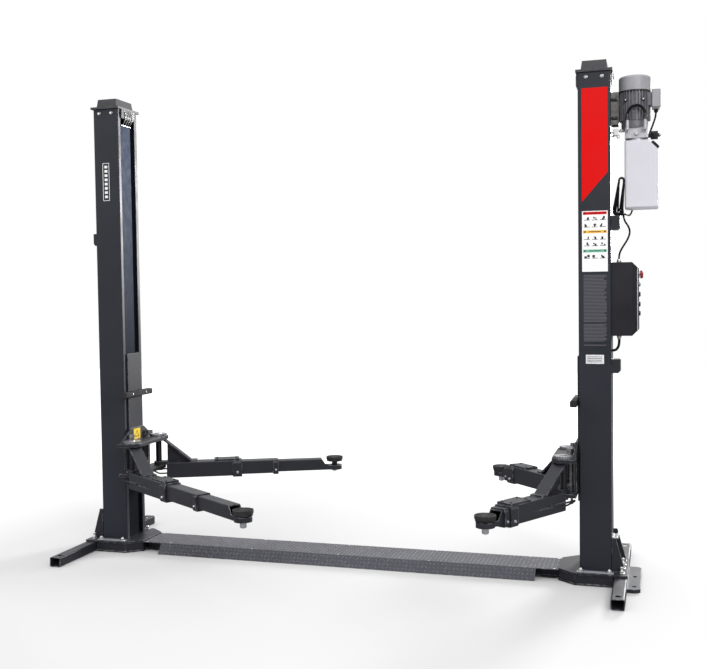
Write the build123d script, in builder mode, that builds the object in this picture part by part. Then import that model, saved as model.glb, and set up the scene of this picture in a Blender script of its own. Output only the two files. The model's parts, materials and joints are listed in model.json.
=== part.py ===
"""Two post car lift with a floor cover between its columns.

Millimetres. The origin is on the floor, midway between the columns. +X points at the column that
carries the power unit, -Y is the side a car drives in from, +Z is up.
"""
import os
from math import cos, radians, sin, tan

from build123d import *

os.makedirs("parts", exist_ok=True)

# Columns: folded channels whose slots face each other
clear_width = 2800.0
column_depth = 172.0
column_width = 238.0
column_wall = 6.0
column_bend = 9.0
slot_width = 170.0
column_top = 2775.0

# Base boxes, their gussets and the outrigger tubes
base_top = 68.0
base_plate = 12.0
base_floor = 8.0
base_wall = 8.0
base_inset = 7.0
base_half_width = 190.0
base_back = 13.0
nose_reach = 115.0
nose_half_width = 115.0
nose_taper = 90.0
anchor_radius = 10.0
anchor_in = 10.0
anchor_spacing_x = 150.0
anchor_spacing_y = 320.0
gusset_plate = 8.0
gusset_foot = 66.0
gusset_rise = 185.0
gusset_tip = 20.0
outrigger_length = 1160.0
outrigger_width = 70.0
outrigger_wall = 4.0
outrigger_hole = 17.5
outrigger_hole_in = 55.0
lug_width = 68.0
lug_length = 455.0
lug_y = -37.5
lug_plate = 20.0
lug_hole = 13.0
lug_hole_spacing = 190.0
lug_holes_y = -112.0

# Caps on the columns, with the bar that the dust strips hang from
cap_brim = 11.0
cap_plate = 13.0
cap_depth = 142.0
cap_width = 202.0
cap_rise = 52.0
cap_draft = 8.0
cap_tab_width = 120.0
cap_tab_drop = 50.0
cap_tab_plate = 5.0
hanger_proud = 10.0
hanger_depth = 42.0
hanger_drop = 55.0
hanger_gap = 1.0
strip_width = 113.0
strip_thick = 3.0
strip_behind_lip = 9.0
strip_hook_gap = 34.0

# Floor frame and its tread plate cover
cover_top = 60.0
cover_plate = 3.5
cover_width = 240.0
cover_foot_width = 340.0
cover_end_gap = 0.5
skirt_notch = 125.0
rail_height = cover_top - cover_plate
rail_plate = 6.0
rail_flange = 40.0
rail_inset = 36.0
tie_length = 120.0
tie_plate = 8.0
tie_spacing = 900.0

# Carriages, sliding in the columns
carriage_bottom = 440.0
carriage_top = 1240.0
carriage_width = 160.0
carriage_proud = 10.0
carriage_depth = 160.0
carriage_wall = 8.0
slider_gap = 0.5
slider_length = 130.0
slider_depth = 40.0
bumper_height = 985.0
bumper_tall = 35.0
bumper_thick = 35.0
bumper_length = 330.0
bumper_edge = 8.0

# The yoke that holds the arm pivots
pivot_in = 80.0
pivot_y = 170.0
pin_radius = 19.0
pin_gap = 0.3
pin_past = 16.0
pin_head = 8.0
pin_head_rim = 6.0
pin_nut = 4.0
yoke_top = 690.0
yoke_plate = 20.0
yoke_top_radius = 64.0
yoke_low_top = 500.0
yoke_low_radius = 45.0
yoke_front = 64.0
yoke_low_front = 45.0
yoke_back_plate = 14.0
yoke_back_half = 150.0
shoulder_half = 195.0
shoulder_top_half = 82.0
shoulder_rise = 76.0
gear_radius = 54.0
gear_teeth = 24
gear_tooth_deep = 7.0
gear_thick = 14.0
lock_rod_radius = 7.0
lock_rod_x = 42.0
lock_rod_y = 100.0
lock_rod_low = 425.0
lock_lift = 8.0
lock_thick = 22.0
lock_wide = 30.0
lock_past_rod = 5.0
spring_radius = 10.5
spring_clear = 20.0
lock_gap = 1.0
lock_edge = 5.0

# Arms: three square tubes, one inside the other
arm_low = 415.0
arm_outer = 100.0
arm_outer_wall = 6.0
arm_gap = 0.5
arm_middle = arm_outer - 2 * arm_outer_wall - 2 * arm_gap
arm_middle_wall = 6.0
arm_tip = arm_middle - 2 * arm_middle_wall - 2 * arm_gap
arm_tip_wall = 5.0
arm_corner = 6.0
arm_inner_corner = 1.0
arm_start = 52.0
arm_end = 540.0
middle_start = 92.0
middle_end = 580.0
tip_start = 128.0
tip_top_end = 590.0
tip_low_end = 620.0
tip_floor_end = 660.0
pad_reach = 680.0
stage_stroke = 320.0
collar_plate = 6.0
outer_collar = 60.0
middle_collar = 34.0
collar_hang = 8.0
rub_plate_length = 165.0
rub_plate_inset = 15.0
rub_plate_width = 92.0
rub_plate_thick = 12.0
eye_radius = 31.0
eye_plate = 22.0
web_start = 56.0
flange_plate = 10.0
flange_width = 80.0
flange_head = 38.0
flange_foot = 212.0
flange_end = 250.0
web_plate = 10.0
guard_radius = 5.0
guard_height = 460.0
guard_front = 330.0
guard_tail = 60.0
guard_bend = 10.0
guard_drop = 30.0
ring_radius = 48.0
ring_height = 28.0

# Lifting pads on their screws
screw_radius = 18.0
pad_stroke = 40.0
screw_low = 397.0
dish_radius = 52.0
dish_low = 461.0
dish_plate = 12.0
pad_radius = 55.0
pad_thick = 17.0
pad_groove = 4.0
pad_groove_spacing = 22.0
dish_edge = 2.0

# Power unit on the right column
motor_out = 122.5
motor_drop = 301.0
motor_radius = 82.0
motor_height = 198.0
motor_flange = 39.0
motor_flange_radius = 70.0
motor_core = 72.0
motor_fins = 30
motor_fin_thick = 4.0
fan_cover_radius = 83.5
fan_cover_height = 79.0
fan_cover_edge = 14.0
terminal_reach = 133.0
terminal_neck = 26.0
terminal_lid = 44.0
terminal_up = 103.0
terminal_height = 94.0
terminal_width = 96.0
pump_shift = 10.0
pump_height = 57.0
pump_width = 121.0
pump_depth = 112.0
pump_edge = 4.0
pump_neck_radius = 52.0
pump_port_y = -20.0
pump_port_radius = 8.0
pump_port_length = 14.0
fitting_inset = 15.0
fitting_out = 40.0
fitting_radius = 8.5
fitting_low = 2.0
fitting_high = 45.0
valve_up = 16.0
valve_neck = 12.0
valve_neck_radius = 12.0
valve_block = 38.0
valve_width = 40.0
valve_height = 42.0
valve_knob = 8.0
valve_knob_radius = 10.0
valve_edge = 8.0
tank_shift = 35.0
tank_length = 173.0
tank_width = 190.0
tank_height = 358.0
tank_neck = 18.0
tank_chamfer = 52.0
tank_edge = 16.0
filler_collar = 20.0
filler_radius = 24.0
filler_height = 22.0
bracket_up = 21.0
bracket_height = 175.0
bracket_width = 84.0
bracket_plate = 4.0

# Control box on the right column
panel_drop = 291.0
panel_height = 397.0
panel_depth = 143.0
panel_width = 200.0
panel_chamfer = 34.0
stop_down = 66.0
stop_radius = 21.5
stop_stem = 12.0
stop_travel = 6.0
stop_head = 16.0
stop_round = 7.0
green_down = 120.0
green_radius = 11.0
green_proud = 8.0
green_edge = 2.0
knobs_down = (174.0, 228.0, 278.0)
knob_radius = 13.0
knob_plate = 3.0
knob_grip = 5.0
knob_grip_width = 9.0
knob_rim = 1.0
gland_radius = 9.0
gland_height = 18.0
gland_x = 40.0
gland_y = -60.0

# Latch covers on the outer faces of the columns
latch_out = 48.0
left_latch_out = 23.0
latch_nose = 12.0
latch_width = 70.0
latch_y = -75.0
latch_height = 75.0
upper_latch_drop = 41.0
lower_latch_drop = 126.0

# Lift cylinders inside the columns
cylinder_radius = 35.0
cylinder_x = 95.0
cylinder_drop = 725.0
cylinder_rod = 20.0
cylinder_rod_drop = 395.0

# How far each arm is swung from straight in, drawn out and screwed up:
# side, end, swing in degrees, middle out, tip out, pad up
arms = {
    "left_front": (-1, -1, 35.4, stage_stroke, stage_stroke, 0.0),
    "left_rear": (-1, 1, 24.8, 0.625 * stage_stroke, 0.875 * stage_stroke, 0.55 * pad_stroke),
    "right_front": (1, -1, 61.0, 0.0, 0.0, 0.0),
    "right_rear": (1, 1, 46.7, 0.0, 0.0, 0.0),
}
sides = {"left": -1, "right": 1}

# Sizes that follow from those above
inner_face = clear_width / 2
outer_face = inner_face + column_depth
column_mid = inner_face + column_depth / 2
outrigger_in = outer_face + base_back
outrigger_out = outrigger_in + outrigger_width
outrigger_height = base_top - base_plate
nose = inner_face - nose_reach
carriage_face = inner_face - carriage_proud
pivot_x = inner_face - pivot_in
arm_mid = arm_low + arm_outer / 2
arm_high = arm_low + arm_outer
eye_low = yoke_low_top + pin_gap
eye_high = yoke_top - yoke_plate - pin_gap
motor_x = outer_face + motor_out
motor_low = column_top - motor_drop
motor_top = motor_low + motor_height
pump_x = motor_x + pump_shift
pump_low = motor_low - pump_height
tank_high = pump_low - tank_neck
tank_low = tank_high - tank_height
tank_in = motor_x + tank_shift - tank_length / 2
tank_out = tank_in + tank_length
panel_high = tank_low - panel_drop
panel_low = panel_high - panel_height
panel_face = outer_face + panel_depth
stop_height = panel_high - stop_down
upper_latch_high = tank_low - upper_latch_drop
upper_latch_low = upper_latch_high - latch_height
lower_latch_high = panel_low - lower_latch_drop
lower_latch_low = lower_latch_high - latch_height


def save(piece, name):
    """Labels a finished piece and writes it to its own file."""
    piece.part.label = name
    export_step(piece.part, f"parts/{name}.step")


def block(x, y, z, mode=Mode.ADD):
    """A rectangular bar between two coordinates on each axis."""
    with Locations(((x[0] + x[1]) / 2, (y[0] + y[1]) / 2, (z[0] + z[1]) / 2)):
        Box(abs(x[1] - x[0]), abs(y[1] - y[0]), abs(z[1] - z[0]), mode=mode)


def rod(x, y, z, radius, mode=Mode.ADD):
    """An upright round bar at x, y between two heights."""
    with Locations((x, y, (z[0] + z[1]) / 2)):
        Cylinder(radius, z[1] - z[0], mode=mode)


def cord_route(name, points, diameter):
    """Straight runs joined by arcs as large as the runs allow."""
    corners = [Vector(*point) for point in points]
    radii = []
    for before, here, after in zip(corners, corners[1:], corners[2:]):
        turn = (here - before).get_angle(after - here)
        shorter = min((here - before).length, (after - here).length)
        radii.append(0.45 * shorter / tan(radians(turn / 2)))
    print(name, "radii in diameters", [round(radius / diameter, 1) for radius in radii])
    return FilletPolyline(*corners, radius=radii)


def cord_tube(name, points, diameter):
    """A plain round tube along a cord's route, added to the piece being built."""
    with BuildLine() as line:
        cord_route(name, points, diameter)
    path = line.wire()
    with BuildSketch(Plane(origin=path @ 0, z_dir=path % 0)) as section:
        Circle(diameter / 2)
    sweep(sections=section.sketch, path=path)
    expected = path.length * 3.14159 * diameter**2 / 4
    print(name, "length", round(path.length), "volume expected", round(expected))


# Columns
for name, side in sides.items():
    with BuildPart() as column:
        with BuildSketch(Plane.XY.offset(base_top)):
            with Locations((side * column_mid, 0)):
                RectangleRounded(column_depth, column_width, column_bend)
                RectangleRounded(
                    column_depth - 2 * column_wall,
                    column_width - 2 * column_wall,
                    column_bend - column_wall,
                    mode=Mode.SUBTRACT,
                )
            with Locations((side * inner_face, 0)):
                Rectangle(4 * column_wall, slot_width, mode=Mode.SUBTRACT)
        extrude(amount=column_top - base_top)
    save(column, f"{name}_column")


def base_plan(side, back):
    """Plan of a base, square at the back and narrowed to a nose under the floor cover."""
    with BuildLine() as outline:
        Polyline(
            (side * nose, -nose_half_width),
            (side * (nose + nose_taper), -base_half_width),
            (side * back, -base_half_width),
            (side * back, base_half_width),
            (side * (nose + nose_taper), base_half_width),
            (side * nose, nose_half_width),
            close=True,
        )
    make_face(outline.edges())


# Base boxes with the gussets that brace the columns
for name, side in sides.items():
    anchor_x = inner_face + anchor_in + anchor_spacing_x / 2
    with BuildPart() as base:
        with BuildSketch():
            base_plan(side, outrigger_in)
        extrude(amount=base_floor)
        with BuildSketch(Plane.XY.offset(base_floor)):
            base_plan(side, outrigger_in)
            offset(amount=-base_inset)
        with BuildSketch(Plane.XY.offset(base_floor), mode=Mode.PRIVATE) as room:
            base_plan(side, outrigger_in)
            offset(amount=-base_inset - base_wall)
        extrude(amount=outrigger_height - base_floor)
        extrude(room.sketch, amount=outrigger_height - base_floor, mode=Mode.SUBTRACT)
        with BuildSketch(Plane.XY.offset(outrigger_height)):
            base_plan(side, outrigger_out)
        extrude(amount=base_plate)
        with BuildSketch():
            with Locations((side * anchor_x, 0)):
                with GridLocations(anchor_spacing_x, anchor_spacing_y, 2, 2):
                    Circle(anchor_radius)
        extrude(amount=base_top, mode=Mode.SUBTRACT)
        for edge in (column_width / 2, gusset_plate - column_width / 2):
            with BuildSketch(Plane.XZ.offset(-edge)):
                with BuildLine():
                    Polyline(
                        (side * outer_face, base_top),
                        (side * (outer_face + gusset_foot), base_top),
                        (side * (outer_face + gusset_foot), base_top + gusset_tip),
                        (side * (outer_face + gusset_tip), base_top + gusset_rise),
                        (side * outer_face, base_top + gusset_rise),
                        close=True,
                    )
                make_face()
            extrude(amount=gusset_plate)
    save(base, f"{name}_base")

# Outrigger tubes, with the anchor lug beside the right one
with BuildPart() as outriggers:
    for side in sides.values():
        with BuildSketch(Plane.XZ):
            with Locations((side * (outrigger_in + outrigger_out) / 2, outrigger_height / 2)):
                RectangleRounded(outrigger_width, outrigger_height, 2 * outrigger_wall)
                RectangleRounded(
                    outrigger_width - 2 * outrigger_wall,
                    outrigger_height - 2 * outrigger_wall,
                    outrigger_wall,
                    mode=Mode.SUBTRACT,
                )
        extrude(amount=outrigger_length / 2, both=True)
        for end in (-1, 1):
            hole_y = end * (outrigger_length / 2 - outrigger_hole_in)
            hole_z = (outrigger_height - 2 * outrigger_wall, outrigger_height)
            rod(side * (outrigger_in + outrigger_out) / 2, hole_y, hole_z, outrigger_hole, Mode.SUBTRACT)
    with BuildSketch():
        with Locations((outrigger_out + lug_width / 2, lug_y)):
            Rectangle(lug_width, lug_length)
        outer_corners = vertices().group_by(Axis.X)[-1]
        chamfer(outer_corners, length=lug_plate)
        with Locations((outrigger_out + lug_width / 2, lug_holes_y)):
            with GridLocations(1, lug_hole_spacing, 1, 2):
                Circle(lug_hole, mode=Mode.SUBTRACT)
    extrude(amount=lug_plate)
save(outriggers, "outrigger_tubes")

# Caps over the columns, each with the bar that its dust strip hooks on
with BuildPart() as caps:
    for side in sides.values():
        with BuildSketch(Plane.XY.offset(column_top)):
            with Locations((side * column_mid, 0)):
                Rectangle(column_depth + 2 * cap_brim, column_width + 2 * cap_brim)
        extrude(amount=cap_plate)
        with BuildSketch(Plane.XY.offset(column_top + cap_plate)):
            with Locations((side * column_mid, 0)):
                Rectangle(cap_depth, cap_width)
        extrude(amount=cap_rise, taper=cap_draft)
        block(
            (side * outer_face, side * (outer_face + cap_tab_plate)),
            (-cap_tab_width / 2, cap_tab_width / 2),
            (column_top - cap_tab_drop, column_top),
        )
        hanger_front = inner_face - hanger_proud
        block(
            (side * hanger_front, side * (hanger_front + hanger_depth)),
            (hanger_gap - slot_width / 2, slot_width / 2 - hanger_gap),
            (column_top - hanger_drop, column_top),
        )
save(caps, "column_caps")

# Dust strips that close the slots
with BuildPart() as strips:
    for side in sides.values():
        strip_x = inner_face + column_wall + strip_behind_lip
        block(
            (side * strip_x, side * (strip_x + strip_thick)),
            (-strip_width / 2, strip_width / 2),
            (base_top, column_top - hanger_drop - strip_hook_gap),
        )
save(strips, "dust_strips")

# Floor frame: two rails with their flanges out, joined by ties
with BuildPart() as floor_frame:
    rail_out = cover_width / 2 - rail_inset
    with BuildSketch(Plane.YZ):
        for end in (-1, 1):
            with Locations((end * (rail_out - rail_flange / 2), rail_height / 2)):
                Rectangle(rail_flange, rail_height)
            with Locations((end * (rail_out - rail_flange / 2 + rail_plate), rail_height / 2)):
                Rectangle(rail_flange, rail_height - 2 * rail_plate, mode=Mode.SUBTRACT)
    extrude(amount=nose - cover_end_gap, both=True)
    tie_half = rail_out - rail_flange
    for tie_x in (-tie_spacing, 0, tie_spacing):
        block((tie_x - tie_length / 2, tie_x + tie_length / 2), (-tie_half, tie_half), (0, tie_plate))
save(floor_frame, "floor_frame")

# Drive-over cover: a flat top between sloped sides that stop short of the bases
with BuildPart() as floor_cover:
    with BuildSketch(Plane.YZ):
        with BuildLine():
            Polyline(
                (-cover_foot_width / 2, 0),
                (-cover_width / 2, cover_top),
                (cover_width / 2, cover_top),
                (cover_foot_width / 2, 0),
                close=True,
            )
        make_face()
        with BuildLine():
            Polyline(
                (cover_plate * 2 - cover_foot_width / 2, 0),
                (cover_plate / 2 - cover_width / 2, rail_height),
                (cover_width / 2 - cover_plate / 2, rail_height),
                (cover_foot_width / 2 - cover_plate * 2, 0),
                close=True,
            )
        make_face(mode=Mode.SUBTRACT)
    extrude(amount=nose - skirt_notch, both=True)
    block(
        (cover_end_gap - nose, nose - cover_end_gap),
        (-cover_width / 2, cover_width / 2),
        (rail_height, cover_top),
    )
save(floor_cover, "floor_cover")

# Lift cylinders, seen past the edges of the dust strips
with BuildPart() as cylinders:
    for side in sides.values():
        axis_x = side * (inner_face + cylinder_x)
        cylinder_top = column_top - cylinder_drop
        rod(axis_x, 0, (base_top, cylinder_top), cylinder_radius)
        rod(axis_x, 0, (cylinder_top, column_top - cylinder_rod_drop), cylinder_rod)
save(cylinders, "lift_cylinders")

# Carriages with the yokes that hold the arms
for name, side in sides.items():
    with BuildPart() as carriage:
        tube_x = carriage_face + carriage_depth / 2
        with BuildSketch(Plane.XY.offset(carriage_bottom)):
            with Locations((side * tube_x, 0)):
                Rectangle(carriage_depth, carriage_width)
                Rectangle(
                    carriage_depth - 2 * carriage_wall,
                    carriage_width - 2 * carriage_wall,
                    mode=Mode.SUBTRACT,
                )
        extrude(amount=carriage_top - carriage_bottom)
        with BuildSketch(Plane.XY.offset(yoke_top - yoke_plate)):
            with Locations((side * pivot_x, -pivot_y), (side * pivot_x, pivot_y)):
                Circle(yoke_top_radius)
            with Locations((side * (pivot_x - yoke_front + carriage_face) / 2, 0)):
                Rectangle(carriage_face - pivot_x + yoke_front, 2 * pivot_y)
            with Locations((side * (pivot_x + carriage_face) / 2, 0)):
                Rectangle(carriage_face - pivot_x, 2 * (pivot_y + yoke_top_radius))
            with Locations((side * (carriage_face + yoke_top_radius), 0)):
                Rectangle(2 * yoke_top_radius, 4 * pivot_y, mode=Mode.SUBTRACT)
        extrude(amount=yoke_plate)
        with BuildSketch(Plane.XY.offset(yoke_low_top - yoke_plate)):
            with Locations((side * pivot_x, -pivot_y), (side * pivot_x, pivot_y)):
                Circle(yoke_low_radius)
            with Locations((side * (pivot_x - yoke_low_front + carriage_face) / 2, 0)):
                Rectangle(carriage_face - pivot_x + yoke_low_front, 2 * pivot_y)
            with Locations((side * (pivot_x + carriage_face) / 2, 0)):
                Rectangle(carriage_face - pivot_x, 2 * (pivot_y + yoke_low_radius))
        extrude(amount=yoke_plate)
        with BuildSketch(Plane.YZ.offset(side * carriage_face)):
            with BuildLine():
                Polyline(
                    (-yoke_back_half, yoke_low_top - yoke_plate),
                    (yoke_back_half, yoke_low_top - yoke_plate),
                    (yoke_back_half, yoke_top - yoke_plate),
                    (shoulder_half, yoke_top - yoke_plate),
                    (shoulder_half, yoke_top),
                    (shoulder_top_half, yoke_top + shoulder_rise),
                    (-shoulder_top_half, yoke_top + shoulder_rise),
                    (-shoulder_half, yoke_top),
                    (-shoulder_half, yoke_top - yoke_plate),
                    (-yoke_back_half, yoke_top - yoke_plate),
                    close=True,
                )
            make_face()
        extrude(amount=-side * yoke_back_plate)
        for end in (-1, 1):
            plates = (yoke_low_top - yoke_plate, yoke_top)
            rod(side * pivot_x, end * pivot_y, plates, pin_radius + pin_gap, Mode.SUBTRACT)
            rod_x = side * (inner_face - lock_rod_x)
            rod(rod_x, end * lock_rod_y, plates, lock_rod_radius + pin_gap, Mode.SUBTRACT)
    save(carriage, f"{name}_carriage")

    with BuildPart() as sliders:
        front_x = inner_face + column_wall + slider_gap
        back_x = outer_face - column_wall - slider_gap
        edge_y = column_width / 2 - column_wall - slider_gap
        for low in (carriage_bottom, carriage_top - slider_length):
            for end in (-1, 1):
                span_y = (end * carriage_width / 2, end * edge_y)
                span_z = (low, low + slider_length)
                block((side * front_x, side * (front_x + slider_depth)), span_y, span_z)
                block((side * back_x, side * (back_x - slider_depth)), span_y, span_z)
        upright = edges().filter_by(Axis.Z).group_by(Axis.Y)
        chamfer(upright[0] + upright[-1], length=column_bend - column_wall)
    save(sliders, f"{name}_sliders")

    with BuildPart() as bumper:
        with BuildSketch(Plane.XZ):
            with Locations((side * (carriage_face - bumper_thick / 2), bumper_height)):
                Rectangle(bumper_thick, bumper_tall)
            front_corners = vertices().group_by(Axis.X)[0 if side > 0 else -1]
            fillet(front_corners, radius=bumper_edge)
        extrude(amount=bumper_length / 2, both=True)
    save(bumper, f"{name}_bumper")

    with BuildPart() as locks:
        for end in (-1, 1):
            rod_x = side * (inner_face - lock_rod_x)
            rod_y = end * lock_rod_y
            lock_low = yoke_top + pin_gap + gear_thick + lock_lift
            rod(rod_x, rod_y, (lock_rod_low, lock_low + lock_thick), lock_rod_radius)
            rod(rod_x, rod_y, (yoke_low_top + spring_clear, yoke_top - yoke_plate - spring_clear), spring_radius)
            away = Vector(rod_x - side * pivot_x, rod_y - end * pivot_y, 0)
            toward = Plane(
                origin=(side * pivot_x, end * pivot_y, lock_low), x_dir=away, z_dir=(0, 0, 1)
            )
            with BuildSketch(toward):
                with Locations((away.length + lock_past_rod, 0)):
                    Rectangle(
                        away.length, lock_wide, align=(Align.MAX, Align.CENTER)
                    )
                Circle(gear_radius + lock_gap, mode=Mode.SUBTRACT)
                fillet(vertices().group_by(Axis.X)[-1], radius=lock_edge)
            extrude(amount=lock_thick)
    save(locks, f"{name}_arm_locks")


def square_tube(width, wall):
    """Section of a square tube centred on the arm's axis."""
    with Locations((0, arm_mid)):
        RectangleRounded(width, width, arm_corner)
        RectangleRounded(
            width - 2 * wall, width - 2 * wall, arm_inner_corner, mode=Mode.SUBTRACT
        )


def collar(width):
    """Section of the band round the sides and bottom of a tube's mouth."""
    with Locations((0, arm_mid - collar_hang)):
        RectangleRounded(width + 2 * collar_plate, width, 2 * arm_corner)
    with Locations((0, arm_mid)):
        Rectangle(width - collar_plate, width - collar_plate, mode=Mode.SUBTRACT)


for name, (side, end, swing, middle_out, tip_out, pad_up) in arms.items():
    along = Vector(-side * cos(radians(swing)), end * sin(radians(swing)), 0)
    plan = Plane(origin=(side * pivot_x, end * pivot_y, 0), x_dir=along, z_dir=(0, 0, 1))
    outer_hand = -side * end
    elevation = Plane(origin=plan.origin, x_dir=plan.x_dir, z_dir=-plan.y_dir)

    def section(reach):
        """The plane across the arm at a reach from its pivot."""
        return Plane(
            origin=plan.from_local_coords((reach, 0, 0)), x_dir=plan.y_dir, z_dir=plan.x_dir
        )

    # Outer arm: tube, two eyes for the pin, web and sloping flange, mouth collar and toe guard
    with BuildPart() as outer_arm:
        with BuildSketch(section(arm_start)):
            square_tube(arm_outer, arm_outer_wall)
        extrude(amount=arm_end - arm_start)
        with BuildSketch(section(arm_start)):
            with Locations((0, arm_mid)):
                RectangleRounded(arm_outer, arm_outer, arm_corner)
        extrude(amount=arm_outer_wall)
        with BuildSketch(plan.offset(eye_low)):
            Circle(eye_radius)
            with Locations(((arm_start + arm_outer_wall) / 2, 0)):
                Rectangle(arm_start + arm_outer_wall, 2 * eye_radius)
        extrude(amount=eye_plate)
        with BuildSketch(elevation):
            with BuildLine():
                slope = (eye_high - flange_plate / 2 - arm_high) / (flange_foot - flange_head)
                Polyline(
                    (web_start, arm_high),
                    (flange_foot, arm_high),
                    (web_start, arm_high + slope * (flange_foot - web_start)),
                    close=True,
                )
            make_face()
        extrude(amount=web_plate / 2, both=True)
        with BuildSketch(elevation):
            with BuildLine():
                Polyline(
                    (0, eye_high),
                    (flange_head, eye_high),
                    (flange_foot, arm_high + flange_plate),
                    (flange_end, arm_high + flange_plate),
                    (flange_end, arm_high),
                    (flange_foot - flange_plate / 2, arm_high),
                    (flange_head - flange_plate / 2, eye_high - flange_plate),
                    (0, eye_high - flange_plate),
                    close=True,
                )
            make_face()
        extrude(amount=flange_width / 2, both=True)
        with BuildSketch(plan.offset(eye_high - flange_plate)):
            Circle(flange_width / 2)
        extrude(amount=flange_plate)
        with BuildSketch(section(arm_end)):
            collar(arm_outer)
        extrude(amount=-outer_collar)
        with BuildSketch(plan.offset(arm_high)):
            with Locations((arm_end - rub_plate_inset - rub_plate_length / 2, 0)):
                Rectangle(rub_plate_length, rub_plate_width)
        extrude(amount=rub_plate_thick)
        with BuildLine() as guard:
            FilletPolyline(
                plan.from_local_coords(
                    (guard_front, outer_hand * (arm_outer / 2 + guard_radius / 2), guard_height)
                ),
                plan.from_local_coords(
                    (-guard_tail, outer_hand * (arm_outer / 2 + guard_radius / 2), guard_height)
                ),
                plan.from_local_coords((0, outer_hand * arm_outer / 4, arm_mid - guard_drop)),
                plan.from_local_coords(
                    (arm_start + arm_outer_wall / 2, outer_hand * arm_outer / 4, arm_mid - guard_drop)
                ),
                radius=guard_bend,
            )
        with BuildSketch(Plane(origin=guard.wire() @ 0, z_dir=guard.wire() % 0)) as guard_round:
            Circle(guard_radius)
        sweep(sections=guard_round.sketch, path=guard.wire())
        with BuildSketch(plan.offset(eye_low)):
            Circle(pin_radius + pin_gap)
        extrude(amount=eye_high - eye_low, mode=Mode.SUBTRACT)
    save(outer_arm, f"{name}_outer_arm")

    # Pivot pin with the toothed disc that the arm lock grips
    with BuildPart() as pin:
        pin_low = yoke_low_top - yoke_plate - pin_past
        with BuildSketch(plan.offset(pin_low)):
            Circle(pin_radius)
        extrude(amount=yoke_top + pin_gap - pin_low)
        with BuildSketch(plan.offset(pin_low)):
            Circle(pin_radius + pin_head_rim)
        extrude(amount=pin_head)
        with BuildSketch(plan.offset(yoke_top + pin_gap)):
            Circle(gear_radius)
            with PolarLocations(gear_radius, gear_teeth):
                Rectangle(2 * gear_tooth_deep, gear_tooth_deep, mode=Mode.SUBTRACT)
        extrude(amount=gear_thick)
        with BuildSketch(plan.offset(yoke_top + pin_gap + gear_thick)):
            RegularPolygon(pin_radius, 6)
        extrude(amount=pin_nut)
    save(pin, f"{name}_pivot_pin")

    with BuildPart() as middle_arm:
        with BuildSketch(section(middle_start + middle_out)):
            square_tube(arm_middle, arm_middle_wall)
        extrude(amount=middle_end - middle_start)
        with BuildSketch(section(middle_end + middle_out)):
            collar(arm_middle)
        extrude(amount=-middle_collar)
    save(middle_arm, f"{name}_middle_arm")

    # Tip arm: cut away on a slant over the threaded ring that holds the pad screw
    with BuildPart() as tip_arm:
        reach_out = middle_out + tip_out
        tip_low = arm_mid - arm_tip / 2
        tip_high = arm_mid + arm_tip / 2
        with BuildSketch(section(tip_start + reach_out)):
            square_tube(arm_tip, arm_tip_wall)
        extrude(amount=tip_floor_end - tip_start)
        with BuildSketch(elevation):
            with BuildLine():
                Polyline(
                    (tip_top_end + reach_out, tip_high + arm_inner_corner),
                    (tip_low_end + reach_out, tip_low + ring_height),
                    (tip_low_end + arm_tip + reach_out, tip_low + ring_height),
                    (tip_low_end + arm_tip + reach_out, tip_high + arm_inner_corner),
                    close=True,
                )
            make_face()
        extrude(amount=arm_tip, both=True, mode=Mode.SUBTRACT)
        with BuildSketch(plan.offset(tip_low)):
            with Locations((pad_reach + reach_out, 0)):
                Circle(ring_radius)
        extrude(amount=ring_height)
        with BuildSketch(plan.offset(tip_low)):
            with Locations((pad_reach + reach_out, 0)):
                Circle(screw_radius + pin_gap)
        extrude(amount=ring_height, mode=Mode.SUBTRACT)
    save(tip_arm, f"{name}_tip_arm")

    with BuildPart() as pad_screw:
        with BuildSketch(plan.offset(screw_low + pad_up)):
            with Locations((pad_reach + reach_out, 0)):
                Circle(screw_radius)
        extrude(amount=dish_low - screw_low)
        with BuildSketch(plan.offset(dish_low + pad_up)):
            with Locations((pad_reach + reach_out, 0)):
                Circle(dish_radius)
        extrude(amount=dish_plate)
        chamfer(edges().group_by(Axis.Z)[0], length=dish_edge)
    save(pad_screw, f"{name}_pad_screw")

    with BuildPart() as pad:
        pad_low = dish_low + dish_plate + pad_up
        with BuildSketch(plan.offset(pad_low)):
            with Locations((pad_reach + reach_out, 0)):
                Circle(pad_radius)
        extrude(amount=pad_thick)
        with BuildSketch(plan.offset(pad_low + pad_thick - pad_groove)):
            with Locations((pad_reach + reach_out, 0)):
                with GridLocations(0, pad_groove_spacing, 1, 4):
                    Rectangle(2 * pad_radius, pad_groove)
        extrude(amount=pad_groove, mode=Mode.SUBTRACT)
    save(pad, f"{name}_pad")

# Power unit
with BuildPart() as bracket:
    bracket_out = motor_x - motor_radius - pin_gap
    with BuildSketch(Plane.XY.offset(motor_low + bracket_up)):
        with Locations(((outer_face + bracket_out) / 2, 0)):
            Rectangle(bracket_out - outer_face, bracket_width)
            Rectangle(
                bracket_out - outer_face - 2 * bracket_plate,
                bracket_width - 2 * bracket_plate,
                mode=Mode.SUBTRACT,
            )
    extrude(amount=bracket_height)
save(bracket, "motor_bracket")

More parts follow.
